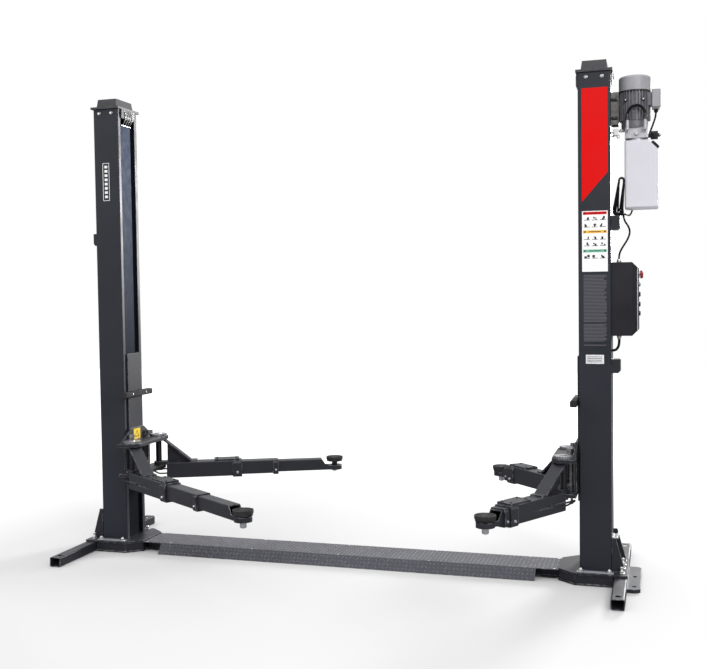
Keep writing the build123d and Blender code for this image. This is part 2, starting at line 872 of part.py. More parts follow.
# Motor: flange, core with upright fins, and the terminal box with its wider lid
with BuildPart() as motor:
    rod(motor_x, 0, (motor_low, motor_low + motor_flange), motor_flange_radius)
    with BuildSketch(Plane.XY.offset(motor_low + motor_flange)):
        with Locations((motor_x, 0)):
            Circle(motor_core)
            with PolarLocations(motor_core, motor_fins):
                Rectangle(2 * (motor_radius - motor_core), motor_fin_thick)
    extrude(amount=motor_height - motor_flange)
    terminal_out = motor_x + terminal_reach
    terminal_low = motor_low + terminal_up
    block(
        (motor_x + motor_core - motor_fin_thick, terminal_out - terminal_lid),
        (terminal_neck / 2 - terminal_width / 2, terminal_width / 2 - terminal_neck / 2),
        (terminal_low + terminal_neck / 2, terminal_low + terminal_height - terminal_neck / 2),
    )
    block(
        (terminal_out - terminal_lid, terminal_out),
        (-terminal_width / 2, terminal_width / 2),
        (terminal_low, terminal_low + terminal_height),
    )
save(motor, "motor")

with BuildPart() as fan_cover:
    rod(motor_x, 0, (motor_top, motor_top + fan_cover_height), fan_cover_radius)
    fillet(edges().group_by(Axis.Z)[-1], radius=fan_cover_edge)
save(fan_cover, "fan_cover")

# Pump block with its neck into the tank, two hose fittings and the return port
with BuildPart() as pump:
    with BuildSketch(Plane.XY.offset(pump_low)):
        with Locations((pump_x, 0)):
            RectangleRounded(pump_width, pump_depth, pump_edge)
    extrude(amount=pump_height)
    rod(pump_x, 0, (tank_high, pump_low), pump_neck_radius)
    fitting_span = pump_width - 2 * fitting_inset
    fitting_y = -pump_depth / 2 - fitting_out
    fitting_mid = motor_low - fitting_low - fitting_radius
    for fitting_x in (pump_x - fitting_span / 2, pump_x + fitting_span / 2):
        with BuildSketch(Plane.XZ.offset(pump_depth / 2)):
            with Locations((fitting_x, fitting_mid)):
                Circle(fitting_radius - 1)
        extrude(amount=fitting_out)
        fitting_z = (fitting_mid - fitting_radius, motor_low + fitting_high)
        rod(fitting_x, fitting_y, fitting_z, fitting_radius)
    with BuildSketch(Plane.YZ.offset(pump_x - pump_width / 2)):
        with Locations((pump_port_y, fitting_mid)):
            Circle(pump_port_radius)
    extrude(amount=-pump_port_length)
save(pump, "pump_block")

with BuildPart() as valve:
    valve_x = pump_x + pump_width / 2
    knob_x = valve_x + valve_neck + valve_block
    for radius, start_x, length in (
        (valve_neck_radius, valve_x, valve_neck),
        (valve_knob_radius, knob_x, valve_knob),
    ):
        with BuildSketch(Plane.YZ.offset(start_x)):
            with Locations((0, pump_low + valve_up)):
                Circle(radius)
        extrude(amount=length)
    with BuildSketch(Plane.YZ.offset(valve_x + valve_neck)):
        with Locations((0, pump_low + valve_up)):
            RectangleRounded(valve_width, valve_height, valve_edge)
    extrude(amount=valve_block)
save(valve, "lowering_valve")

with BuildPart() as tank:
    with BuildSketch(Plane.XZ):
        with BuildLine():
            Polyline(
                (tank_in, tank_low),
                (tank_out, tank_low),
                (tank_out, tank_high - tank_chamfer),
                (tank_out - tank_chamfer, tank_high),
                (tank_in, tank_high),
                close=True,
            )
        make_face()
    extrude(amount=tank_width / 2, both=True)
    fillet(edges().filter_by(Axis.Z), radius=tank_edge)
    fillet(edges().group_by(Axis.Z)[0], radius=tank_edge / 2)
save(tank, "oil_tank")

with BuildPart() as filler_cap:
    slant = Plane(
        origin=(tank_out - tank_chamfer / 2, 0, tank_high - tank_chamfer / 2),
        x_dir=(0, 1, 0),
        z_dir=(1, 0, 1),
    )
    with BuildSketch(slant):
        Circle(filler_collar)
    extrude(amount=filler_height)
    with BuildSketch(slant.offset(filler_height / 3)):
        Circle(filler_radius)
    extrude(amount=filler_height * 2 / 3)
save(filler_cap, "filler_cap")

# Control box
with BuildPart() as panel:
    with BuildSketch(Plane.XY.offset(panel_low)):
        with BuildLine():
            Polyline(
                (outer_face, -panel_width / 2),
                (panel_face - panel_chamfer, -panel_width / 2),
                (panel_face, panel_chamfer - panel_width / 2),
                (panel_face, panel_width / 2 - panel_chamfer),
                (panel_face - panel_chamfer, panel_width / 2),
                (outer_face, panel_width / 2),
                close=True,
            )
        make_face()
    extrude(amount=panel_high - panel_low)
    chamfer(edges().filter_by(Axis.Y).group_by(Axis.X)[-1], length=panel_chamfer)
    with BuildSketch(Plane.YZ.offset(panel_face)):
        with Locations((0, stop_height)):
            Circle(stop_stem / 2 + pin_gap)
    extrude(amount=-3 * stop_travel, mode=Mode.SUBTRACT)
    for gland_z in ((panel_high, panel_high + gland_height), (panel_low - gland_height, panel_low)):
        rod(outer_face + gland_x, gland_y, gland_z, gland_radius)
save(panel, "control_box")

with BuildPart() as stop_button:
    with BuildSketch(Plane.YZ.offset(panel_face - stop_travel)):
        with Locations((0, stop_height)):
            Circle(stop_stem / 2)
    extrude(amount=2 * stop_travel)
    with BuildSketch(Plane.YZ.offset(panel_face + stop_travel)):
        with Locations((0, stop_height)):
            Circle(stop_radius)
    extrude(amount=stop_head)
    fillet(edges().group_by(Axis.X)[-1], radius=stop_round)
save(stop_button, "emergency_stop")

with BuildPart() as start_button:
    with BuildSketch(Plane.YZ.offset(panel_face)):
        with Locations((0, panel_high - green_down)):
            Circle(green_radius)
    extrude(amount=green_proud)
    chamfer(edges().group_by(Axis.X)[-1], length=green_edge)
save(start_button, "start_button")

with BuildPart() as knobs:
    for down in knobs_down:
        with BuildSketch(Plane.YZ.offset(panel_face)):
            with Locations((0, panel_high - down)):
                Circle(knob_radius)
        extrude(amount=knob_plate)
        with BuildSketch(Plane.YZ.offset(panel_face + knob_plate)):
            with Locations((0, panel_high - down)):
                SlotOverall(2 * (knob_radius - knob_rim), knob_grip_width, rotation=90)
        extrude(amount=knob_grip)
save(knobs, "selector_knobs")

# Latch covers
with BuildPart() as latches:
    for side, out, low, high in (
        (-1, left_latch_out, upper_latch_low, upper_latch_high),
        (1, latch_out, upper_latch_low, upper_latch_high),
        (1, latch_out, lower_latch_low, lower_latch_high),
    ):
        with BuildSketch(Plane.XZ.offset(-latch_y)):
            with BuildLine():
                Polyline(
                    (side * outer_face, low),
                    (side * (outer_face + out - latch_nose), low),
                    (side * (outer_face + out), low + latch_nose),
                    (side * (outer_face + out), high),
                    (side * outer_face, high),
                    close=True,
                )
            make_face()
        extrude(amount=latch_width / 2, both=True)
save(latches, "latch_covers")

# Cords and hoses
cable = 10.0
hose = 15.0
return_diameter = 9.0
hank_width = 50.0
hank_height = 208.0
hank_foot = (7.0, 68.0)
hank_head = (40.0, 69.0)
hank_shoulder = 22.0
hank_edge = 5.0
with BuildPart() as hank:
    with BuildSketch(Plane.XZ.offset(-latch_y)):
        with BuildLine():
            hank_low = upper_latch_high
            Polyline(
                (outer_face + hank_foot[0], hank_low),
                (outer_face + hank_foot[1], hank_low),
                (outer_face + hank_head[1], hank_low + hank_height - hank_shoulder),
                (outer_face + hank_head[1] - hank_shoulder / 2, hank_low + hank_height),
                (outer_face + hank_head[0] + hank_shoulder / 2, hank_low + hank_height),
                (outer_face + hank_head[0], hank_low + hank_height - hank_shoulder),
                close=True,
            )
        make_face()
    extrude(amount=hank_width / 2, both=True)
    fillet(edges().group_by(Axis.Z)[-1], radius=hank_edge)
save(hank, "cable_hank")

# Route points are steps from the column's outer face, in y, and up from the panel or the latch cover
hank_back = latch_y + hank_width / 2
control_route = [
    (outer_face + x, y, panel_high + z)
    for x, y, z in (
        (gland_x, gland_y, gland_height),
        (gland_x, gland_y, 44),
        (56, -64, 78),
        (86, -69, 122),
        (100, -73, 164),
        (88, latch_y, 198),
        (62, latch_y, 222),
        (62, latch_y, 250),
    )
]
motor_route = [
    (outer_face + x, y, upper_latch_high + z)
    for x, y, z in (
        (56, hank_back, 18),
        (56, hank_back + 26, 18),
        (70, 14, 14),
        (94, 66, 9),
        (106, 113, 40),
        (118, 125, 110),
        (128, 127, 200),
        (144, 128, 300),
        (168, 124, 390),
        (198, 108, 460),
        (222, 70, 516),
        (233, 30, 548),
        (233, 30, 577),
    )
]
with BuildPart() as control_cable:
    cord_tube("control_cable", control_route, cable)
    cord_tube("motor_cable", motor_route, cable)
save(control_cable, "control_cable")

latch_route = [
    (outer_face + x, gland_y, panel_low - z)
    for x, z in ((gland_x, gland_height), (gland_x, 40), (35, 63), (20, 81), (0, 81))
]
with BuildPart() as latch_cable:
    cord_tube("latch_cable", latch_route, cable)
save(latch_cable, "latch_cable")

hose_left = pump_x - fitting_span / 2
hose_right = pump_x + fitting_span / 2
hose_route = [
    (hose_left, fitting_y, motor_low + fitting_high),
    (hose_left, fitting_y, motor_low + 80),
    (pump_x - 21, fitting_y, motor_low + 107),
    (pump_x + 17, fitting_y, motor_low + 110),
    (hose_right, fitting_y, motor_low + 81),
    (hose_right, fitting_y, motor_low + fitting_high),
]
with BuildPart() as pressure_hose:
    cord_tube("pressure_hose", hose_route, hose)
save(pressure_hose, "pressure_hose")

return_route = [
    (pump_x - pump_width / 2 - pump_port_length, pump_port_y, fitting_mid),
    (outer_face + 39, pump_port_y, fitting_mid),
    (outer_face + 25, pump_port_y, fitting_mid - 12),
    (outer_face + 16, pump_port_y, fitting_mid - 26),
    (outer_face, pump_port_y, fitting_mid - 26),
]
with BuildPart() as return_hose:
    cord_tube("return_hose", return_route, return_diameter)
save(return_hose, "return_hose")
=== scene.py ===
# %% [markdown]
# # A two post car lift, dressed for its picture
# The CAD model already holds every tube, plate and housing at its real place, in metres. This file
# adds what a catalogue photograph shows on top of that: paint and zinc, cables, bolts, stickers, springs
# and tread plate. The frame is loaded first, because each new piece is tied to one of its bodies.

import json
import math

import bpy
import numpy as np
from mathutils import Matrix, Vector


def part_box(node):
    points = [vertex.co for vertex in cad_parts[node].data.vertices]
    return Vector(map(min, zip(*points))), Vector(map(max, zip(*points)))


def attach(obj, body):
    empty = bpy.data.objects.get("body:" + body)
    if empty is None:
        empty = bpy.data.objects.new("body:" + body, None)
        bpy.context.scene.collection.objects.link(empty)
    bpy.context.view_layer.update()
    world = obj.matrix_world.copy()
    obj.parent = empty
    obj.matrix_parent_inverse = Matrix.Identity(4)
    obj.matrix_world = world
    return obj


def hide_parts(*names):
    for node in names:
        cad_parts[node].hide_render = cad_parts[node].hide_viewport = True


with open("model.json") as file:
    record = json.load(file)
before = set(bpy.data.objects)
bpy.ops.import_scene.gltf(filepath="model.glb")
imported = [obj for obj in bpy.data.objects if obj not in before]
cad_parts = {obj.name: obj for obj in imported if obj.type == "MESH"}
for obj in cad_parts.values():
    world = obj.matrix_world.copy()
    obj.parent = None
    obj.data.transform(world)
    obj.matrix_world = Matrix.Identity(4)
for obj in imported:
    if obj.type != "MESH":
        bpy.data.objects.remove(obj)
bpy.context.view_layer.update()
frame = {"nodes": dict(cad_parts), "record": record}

# %% [markdown]
# ## The camera
# The photograph was taken from in front of the power unit, at eye height, with the camera turned to
# the left and a touch downwards. Its place came from matching the lift's straight edges. The camera's
# axes are written as a matrix, because three angles of a tilted camera are easy to mix up.

# %% The camera
STAND = np.array([1.825, -5.652, 1.600])
TURN, DOWN, ROLL = np.radians([17.18, 2.34, -0.80])
FOCAL_PIXELS, PICTURE_WIDE = 994.6, 706

forward = np.array([-np.sin(TURN) * np.cos(DOWN), np.cos(TURN) * np.cos(DOWN), -np.sin(DOWN)])
level = np.array([np.cos(TURN), np.sin(TURN), 0.0])
above = np.cross(level, forward)
right = np.cos(ROLL) * level + np.sin(ROLL) * above
top = np.cos(ROLL) * above - np.sin(ROLL) * level

lens = bpy.data.cameras.new("lens")
lens.sensor_fit = "HORIZONTAL"
lens.sensor_width = 36.0
lens.lens = lens.sensor_width * FOCAL_PIXELS / PICTURE_WIDE
lens.clip_end = 60.0
camera = bpy.data.objects.new("camera", lens)
pose = np.eye(4)
pose[:3, :] = np.column_stack([right, top, -forward, STAND])
camera.matrix_world = Matrix(pose.tolist())
bpy.context.scene.collection.objects.link(camera)
bpy.context.scene.camera = camera
print("camera", round(lens.lens, 2), "mm lens")

# %% [markdown]
# ## Shapes as arrays
# Nearly every small part of a lift is turned, cut from bar or bent from wire. Each of those is a grid of
# points that a short formula gives, so the helpers below work on whole arrays. A shape is a pair:
# its points, and its faces as lists of point numbers. Bolts, nuts and plugs are turned parts: a
# hexagon is only a turned part with six sides.


# %% Grids and turned parts
def grid_faces(rows, columns):
    """Quads between neighbouring rows of points, each row closed round on itself."""
    index = np.arange(rows * columns).reshape(rows, columns)
    after = np.roll(index, -1, axis=1)
    return np.stack([index[:-1], after[:-1], after[1:], index[1:]], -1).reshape(-1, 4).tolist()


def closed_rows(points):
    """A grid of closed rows with its first and last row filled: a solid between two end faces."""
    rows, columns = points.shape[:2]
    ends = [list(range(columns))[::-1], list(range((rows - 1) * columns, rows * columns))]
    return points.reshape(-1, 3), grid_faces(rows, columns) + ends


def turned(profile, sides=24, start=0.0):
    """Profile of (radius, height) turned round z: x = r cos a, y = r sin a, z = h."""
    profile = np.asarray(profile, float)
    angle = start + np.linspace(0, 2 * np.pi, sides, endpoint=False)
    ring = np.column_stack([np.cos(angle), np.sin(angle), np.zeros(sides)])
    return closed_rows(profile[:, :1, None] * ring + profile[:, 1:, None] * np.array([0, 0, 1.0]))


print("a turned washer has", len(turned([(8, 0), (17, 0), (17, 3), (8, 3)])[1]), "faces")

# %% [markdown]
# A real bar has no sharp edges, and a small chamfer catches the light like one, so `bar` has an eight
# sided outline that is also drawn in at both ends. `wire` carries a circle along a path, with its
# plane square to the path, and serves for springs, rims and rings.


# %% Bars and wires
def bar(size, edge=0.0005):
    """A bar with small chamfers: an eight sided outline, drawn in by the edge at both ends."""
    x, y, z = np.asarray(size, float) / 2
    outline = np.array(
        [(x, y - edge), (x - edge, y), (edge - x, y), (-x, y - edge),
         (-x, edge - y), (edge - x, -y), (x - edge, -y), (x, edge - y)]
    )
    inner = outline * (np.array([x, y]) - edge) / np.array([x, y])
    rows = [(inner, -z), (outline, edge - z), (outline, z - edge), (inner, z)]
    return closed_rows(
        np.stack([np.column_stack([points, np.full(8, height)]) for points, height in rows])
    )


def wire(path, radius, sides=10, closed=False):
    """A round bar along a path: c + radius (n cos a + b sin a), with n square to the path."""
    path = np.asarray(path, float)
    along = np.gradient(path, axis=0)
    if closed:
        along = np.roll(path, -1, axis=0) - np.roll(path, 1, axis=0)
    along /= np.linalg.norm(along, axis=1, keepdims=True)
    spread = np.ptp(path, axis=0)
    across = np.eye(3)[np.argmin(spread)]
    normal = np.cross(along, across)
    normal /= np.linalg.norm(normal, axis=1, keepdims=True)
    second = np.cross(along, normal)
    angle = np.linspace(0, 2 * np.pi, sides, endpoint=False)[:, None]
    points = path[:, None] + radius * (
        normal[:, None] * np.cos(angle) + second[:, None] * np.sin(angle)
    )
    if not closed:
        return closed_rows(points)
    rows = len(path)
    faces = grid_faces(rows, sides)
    index = np.arange(rows * sides).reshape(rows, sides)
    last, first = index[-1], index[0]
    seam = np.stack([last, np.roll(last, -1), np.roll(first, -1), first], -1)
    return points.reshape(-1, 3), faces + seam.tolist()


print("a bar has", len(bar((1, 1, 1))[1]), "faces")

# %% [markdown]
# A thread and a coil spring are the same figure, a helix, with another pitch and thickness. Stickers
# and plates are flat sheets. A rim to grip is a circle whose radius waves.


# %% Helices, sheets and ribbed rims
def helix(radius, pitch, turns, thick, sides=6, per_turn=16):
    """Wire wound round z: (R cos t, R sin t, P t / 2 pi) + thick (n cos a + z sin a), n outwards."""
    t = np.linspace(0, 2 * np.pi * turns, int(turns * per_turn))
    outwards = np.column_stack([np.cos(t), np.sin(t), np.zeros_like(t)])
    centre = radius * outwards + np.outer(pitch * t / (2 * np.pi), [0, 0, 1.0])
    angle = np.linspace(0, 2 * np.pi, sides, endpoint=False)[:, None]
    ring = outwards[:, None] * np.cos(angle) + np.array([0, 0, 1.0]) * np.sin(angle)
    return closed_rows(centre[:, None] + thick * ring)


def sheet(outline, thick):
    """A flat outline of (x, y) points made into a thin sheet between z = 0 and z = thick."""
    outline = np.asarray(outline, float)
    ends = [np.column_stack([outline, np.full(len(outline), height)]) for height in (0.0, thick)]
    return closed_rows(np.stack(ends))


def ribbed(radius, height, ribs, depth, edge):
    """A turned knob whose radius waves: r = R - depth (1 - cos(ribs a)) / 2, chamfered at both ends."""
    angle = np.linspace(0, 2 * np.pi, 6 * ribs, endpoint=False)
    wave = radius - depth * (1 - np.cos(ribs * angle)) / 2
    rows = [(wave - edge, 0.0), (wave, edge), (wave, height - edge), (wave - edge, height)]
    return closed_rows(
        np.stack([
            np.column_stack([r * np.cos(angle), r * np.sin(angle), np.full(len(angle), z)])
            for r, z in rows
        ])
    )


print("one turn of a spring has", len(helix(1.0, 0.5, 1, 0.1)[0]), "points")

# %% [markdown]
# ## Placing shapes
# Shapes are made along z round the origin. `moved` turns one so that its z points the right way and
# carries it to its place. `repeated` lays one shape at many places by adding all the places at
# once, which is quicker than a loop. `joined` makes several shapes one.


# %% Moving, repeating and joining
def moved(shape, place=(0, 0, 0), towards=(0, 0, 1), turn=0.0):
    """p' = place + x U + y V + z W, where W is the unit vector towards and U, V are square to it."""
    points, faces = shape
    w = np.asarray(towards, float) / np.linalg.norm(towards)
    helper = np.array([0, 0, 1.0]) if abs(w[2]) < 0.9 else np.array([0, 1.0, 0])
    u = np.cross(helper, w)
    u /= np.linalg.norm(u)
    v = np.cross(w, u)
    u, v = u * np.cos(turn) + v * np.sin(turn), v * np.cos(turn) - u * np.sin(turn)
    return points @ np.array([u, v, w]) + np.asarray(place, float), faces


def repeated(shape, places):
    """The same shape at every place: its points plus each place, its faces counted on."""
    points, faces = shape
    places = np.asarray(places, float)
    every = (points[None] + places[:, None]).reshape(-1, 3)
    count = len(points)
    return every, [[i + n * count for i in face] for n in range(len(places)) for face in faces]


def joined(shapes):
    """Several shapes as one: points end to end, faces counted on."""
    starts = np.cumsum([0] + [len(points) for points, faces in shapes])
    every = np.concatenate([points for points, faces in shapes])
    return every, [
        [int(start) + i for i in face]
        for start, (points, faces) in zip(starts, shapes)
        for face in faces
    ]


print("two bars joined have", len(joined([bar((1, 1, 1)), bar((1, 1, 1))])[0]), "points")

# %% [markdown]
# `piece` turns shapes into a Blender object. The object stays at the origin, with its place in its
# mesh, so that its finish doesn't move on it. It rides on a body of the model and carries one finish.
# Faces that meet at less than the crease angle are shaded smooth.


# %% Making objects
def piece(name, shapes, finish, body="frame", crease=35.0):
    """An object of one or several shapes, in one finish, which rides on a body."""
    points, faces = joined(shapes if isinstance(shapes, list) else [shapes])
    mesh = bpy.data.meshes.new(name)
    mesh.from_pydata(points.tolist(), [], faces)
    mesh.shade_smooth()
    mesh.set_sharp_from_angle(angle=math.radians(crease))
    mesh.materials.append(finish)
    thing = bpy.data.objects.new(name, mesh)
    bpy.context.scene.collection.objects.link(thing)
    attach(thing, body)
    return thing


print(len(frame["nodes"]), "CAD nodes wait for small pieces")

# %% [markdown]
# ## Finishes as node trees
# A finish is a Principled shader whose colour, roughness and bump come from noise on Object
# coordinates, so it stays put on the part when a joint moves. The first helpers make a shader,
# read a noise, and carry the noise's middle part over to a range.


# %% A shader, a noise and a range
def new_finish(name, colour, roughness, metallic=0.0, coat=0.0, shine=0.5):
    """A material with one Principled shader, and its plain values set on the sockets."""
    finish = bpy.data.materials.new(name)
    finish.use_nodes = True
    shader = finish.node_tree.nodes["Principled BSDF"]
    shader.inputs["Base Color"].default_value = (*colour, 1)
    shader.inputs["Roughness"].default_value = roughness
    shader.inputs["Metallic"].default_value = metallic
    shader.inputs["Coat Weight"].default_value = coat
    shader.inputs["Specular IOR Level"].default_value = shine
    finish.diffuse_color = (*colour, 1)
    return finish, finish.node_tree, shader


def noise(tree, scale, detail=3.0, stretch=(1, 1, 1)):
    """Noise on the piece's own coordinates, pulled out along an axis by stretch."""
    where = tree.nodes.new("ShaderNodeTexCoord")
    mapping = tree.nodes.new("ShaderNodeMapping")
    mapping.inputs["Scale"].default_value = stretch
    texture = tree.nodes.new("ShaderNodeTexNoise")
    texture.inputs["Scale"].default_value = scale
    texture.inputs["Detail"].default_value = detail
    tree.links.new(where.outputs["Object"], mapping.inputs["Vector"])
    tree.links.new(mapping.outputs["Vector"], texture.inputs["Vector"])
    return texture.outputs["Fac"]


def ranged(tree, value, low, high, start=0.3, end=0.7):
    """Carries a value's middle range, start to end, over to low to high."""
    node = tree.nodes.new("ShaderNodeMapRange")
    node.inputs["From Min"].default_value = start
    node.inputs["From Max"].default_value = end
    node.inputs["To Min"].default_value = low
    node.inputs["To Max"].default_value = high
    tree.links.new(value, node.inputs["Value"])
    return node.outputs["Result"]


print("noise is carried from 0.3 to 0.7 unless said")

# %% [markdown]
# Two more helpers follow: `mixed` blends two colours by such a range, and `bumps` turns a noise into
# bumps whose height is given in metres.


# %% Blends and bumps
def mixed(tree, factor, first, second):
    """Blends two colours, given or linked, by a factor."""
    node = tree.nodes.new("ShaderNodeMix")
    node.data_type = "RGBA"
    tree.links.new(factor, node.inputs["Factor"])
    for socket, colour in (("A", first), ("B", second)):
        target = [s for s in node.inputs if s.name == socket and s.type == "RGBA"][0]
        if isinstance(colour, tuple):
            target.default_value = (*colour, 1)
        else:
            tree.links.new(colour, target)
    return [s for s in node.outputs if s.type == "RGBA"][0]


def bumps(tree, shader, height, distance, strength=0.6):
    """Bumps as high as distance, in metres, where height is 1."""
    node = tree.nodes.new("ShaderNodeBump")
    node.inputs["Strength"].default_value = strength
    node.inputs["Distance"].default_value = distance
    tree.links.new(height, node.inputs["Height"])
    tree.links.new(node.outputs["Normal"], shader.inputs["Normal"])
    return node


print("helpers for finishes ready")

# %% [markdown]
# ### Satin anthracite paint
# The columns and arms have a dark blue grey powder coat. Powder paint flows into a faint orange peel,
# shows slow changes of tone, and rubs thin along corners. The corners are painted lighter, partly for
# that rubbing and partly as a painted highlight on the edges. The corner mask comes from a Bevel node:
# where its softened normal leaves the true one, there is an edge.


# %% Powder paint
def powder_paint(name, colour, worn_and_highlight_tone, roughness=0.42, worn_and_highlight_share=0.5, peel=0.00006):
    """Mottled satin paint with orange peel, and corners painted lighter: partly rubbed thin, partly painted
    highlight.
    """
    finish, tree, shader = new_finish(name, colour, roughness, shine=0.36)
    slow = ranged(tree, noise(tree, 1.7, 4), 0.0, 1.0)
    deeper = tuple(0.82 * value for value in colour)
    tone = mixed(tree, slow, deeper, tuple(1.15 * value for value in colour))
    bevel = tree.nodes.new("ShaderNodeBevel")
    bevel.samples = 4
    bevel.inputs["Radius"].default_value = 0.004
    geometry = tree.nodes.new("ShaderNodeNewGeometry")
    facing = tree.nodes.new("ShaderNodeVectorMath")
    facing.operation = "DOT_PRODUCT"
    tree.links.new(bevel.outputs["Normal"], facing.inputs[0])
    tree.links.new(geometry.outputs["Normal"], facing.inputs[1])
    # Lighter corners: partly paint rubbed thin, partly a painted highlight along every edge.
    corner = ranged(tree, facing.outputs["Value"], worn_and_highlight_share, 0.0, 0.80, 0.985)
    broken = ranged(tree, noise(tree, 38, 4), 0.0, 1.0, 0.42, 0.6)
    both = tree.nodes.new("ShaderNodeMath")
    both.operation = "MULTIPLY"
    tree.links.new(corner, both.inputs[0])
    tree.links.new(broken, both.inputs[1])
    tree.links.new(mixed(tree, both.outputs["Value"], tone, worn_and_highlight_tone), shader.inputs["Base Color"])
    smudge = ranged(tree, noise(tree, 5.5, 5), roughness - 0.06, roughness + 0.1)
    tree.links.new(smudge, shader.inputs["Roughness"])
    bump = bumps(tree, shader, noise(tree, 420, 2), peel)
    tree.links.new(bevel.outputs["Normal"], bump.inputs["Normal"])
    return finish


# The second colour of each paint is its lighter corner tone: partly paint rubbed thin, partly painted
# highlight.
column_paint = powder_paint("column_paint", (0.013, 0.0155, 0.023), (0.10, 0.105, 0.12))
frame_paint = powder_paint("frame_paint", (0.014, 0.0145, 0.020), (0.40, 0.405, 0.42), worn_and_highlight_share=1.0)
cover_paint = powder_paint("cover_paint", (0.046, 0.047, 0.060), (0.40, 0.40, 0.42), worn_and_highlight_share=0.9)
# The next two are one tread finish twice: lighter for the top, partly rubbed and partly painted light from
# above, and darker for the slopes, partly painted shade.
top_tread_rubbed_and_lit = powder_paint("top_tread_rubbed_and_lit", (0.20, 0.20, 0.22), (0.50, 0.50, 0.52), worn_and_highlight_share=0.9)
slope_tread_unrubbed_and_shaded = powder_paint("slope_tread_unrubbed_and_shaded", (0.078, 0.078, 0.092), (0.40, 0.40, 0.42), worn_and_highlight_share=0.9)
cap_paint = powder_paint("cap_paint", (0.040, 0.040, 0.045), (0.30, 0.30, 0.32), worn_and_highlight_share=0.9)
box_paint = powder_paint("box_paint", (0.0085, 0.008, 0.0125), (0.07, 0.07, 0.08), 0.36, 0.5)
# A pale grey paint for the painted highlight along the control box lid's edge.
lid_edge_highlight_paint = powder_paint("lid_edge_highlight_paint", (0.42, 0.42, 0.45), (0.5, 0.5, 0.52), 0.3, 0.3)
enamel = powder_paint("enamel", (0.010, 0.010, 0.013), (0.06, 0.06, 0.06), 0.3, 0.2)
print("nine paints")

# %% [markdown]
# ### Metals
# Bolts, pins and lock parts are zinc plated: a grey metal with faint blue and straw patches. The motor
# and pump are cast alloy under a thin grey coat with a fine grain. Threads, pad studs and hose ends
# are dark oiled steel.


# %% Zinc, cast alloy and dark steel
def plated(name, first, second, roughness, patch=26.0, grain=900.0, metallic=1.0, depth=0.00003):
    """Metal whose colour drifts between two tones, with a fine grain in its roughness."""
    finish, tree, shader = new_finish(name, first, roughness, metallic)
    drift = ranged(tree, noise(tree, patch, 4), 0.0, 1.0)
    tree.links.new(mixed(tree, drift, first, second), shader.inputs["Base Color"])
    grainy = ranged(tree, noise(tree, 60, 5), roughness - 0.08, roughness + 0.12)
    tree.links.new(grainy, shader.inputs["Roughness"])
    bumps(tree, shader, noise(tree, grain, 3), depth)
    return finish


zinc = plated("zinc", (0.62, 0.63, 0.66), (0.56, 0.56, 0.57), 0.34)
bright_zinc = plated("bright_zinc", (0.78, 0.79, 0.80), (0.70, 0.69, 0.66), 0.24)
lock_steel = plated("lock_steel", (0.34, 0.34, 0.36), (0.16, 0.155, 0.15), 0.42, 40.0)
dark_steel = plated("dark_steel", (0.075, 0.075, 0.08), (0.035, 0.034, 0.035), 0.38, 30.0)
cast_alloy = plated("cast_alloy", (0.17, 0.17, 0.19), (0.12, 0.12, 0.135), 0.5, 30.0, 700.0, 0.2, 0.0002)
cover_alloy = plated("cover_alloy", (0.30, 0.30, 0.32), (0.25, 0.25, 0.27), 0.45, 20.0, 500.0, 0.1, 0.0001)
plate_silver = plated("plate_silver", (0.74, 0.74, 0.76), (0.60, 0.60, 0.62), 0.45, 30.0, metallic=0.15)
pump_alloy = plated("pump_alloy", (0.56, 0.56, 0.59), (0.36, 0.36, 0.39), 0.42, 24.0, 700.0, 0.6, 0.0001)
print("eight metals")

# %% [markdown]
# Some finishes change with height. A pivot pin is dark below its toothed disc, between the yoke plates,
# and the disc at its top is bright. A pad's dish is dark and its screw bright below. The dust strips,
# in the next cell, darken towards the floor as painted shade deep in the column's slot.


# %% Finishes that change with height
def by_height(finish, low, high, colour):
    """Fades from a colour at the low height to the finish's own colour at the high one."""
    tree = finish.node_tree
    shader = tree.nodes["Principled BSDF"]
    own = shader.inputs["Base Color"].links[0].from_socket
    where = tree.nodes.new("ShaderNodeTexCoord")
    split = tree.nodes.new("ShaderNodeSeparateXYZ")
    tree.links.new(where.outputs["Object"], split.inputs["Vector"])
    share = ranged(tree, split.outputs["Z"], 0.0, 1.0, low, high)
    tree.links.new(mixed(tree, share, colour, own), shader.inputs["Base Color"])
    return finish


gear_zinc = plated("gear_zinc", (0.60, 0.61, 0.63), (0.34, 0.34, 0.36), 0.34, 70.0)
by_height(gear_zinc, 0.686, 0.688, (0.05, 0.05, 0.055))
pad_steel = plated("pad_steel", (0.075, 0.075, 0.08), (0.035, 0.034, 0.035), 0.38, 30.0)
by_height(pad_steel, 0.450, 0.452, (0.60, 0.61, 0.63))
bracket_plate = plated("bracket_plate", (0.21, 0.20, 0.19), (0.06, 0.055, 0.055), 0.45, 22.0, 500.0, 0.5)
print("finishes by height")

# %% [markdown]
# ### Plastics and rubber
# The tank is milky polythene that lets some light in, so it gets subsurface scattering. The strips,
# knobs and slide blocks are moulded, with a soft grain. Rubber is nearly black, rough and slightly dusty
# in patches.


# %% Plastics and rubber
def moulded(name, colour, roughness, grain=500.0, depth=0.00005, inner=0.0, dust=0.0, shine=0.25):
    """Moulded plastic or rubber: a fine grain, a slow drift of tone and a little dust."""
    finish, tree, shader = new_finish(name, colour, roughness, shine=shine)
    dusty = tuple(value + dust for value in colour)
    drift = ranged(tree, noise(tree, 9, 5), 0.0, 1.0)
    tree.links.new(mixed(tree, drift, colour, dusty), shader.inputs["Base Color"])
    rubbed = ranged(tree, noise(tree, 30, 4), roughness - 0.05, roughness + 0.08)
    tree.links.new(rubbed, shader.inputs["Roughness"])
    shader.inputs["Subsurface Weight"].default_value = inner
    shader.inputs["Subsurface Radius"].default_value = (0.02, 0.02, 0.022)
    shader.inputs["Subsurface Scale"].default_value = 0.6
    bumps(tree, shader, noise(tree, grain, 2), depth)
    return finish


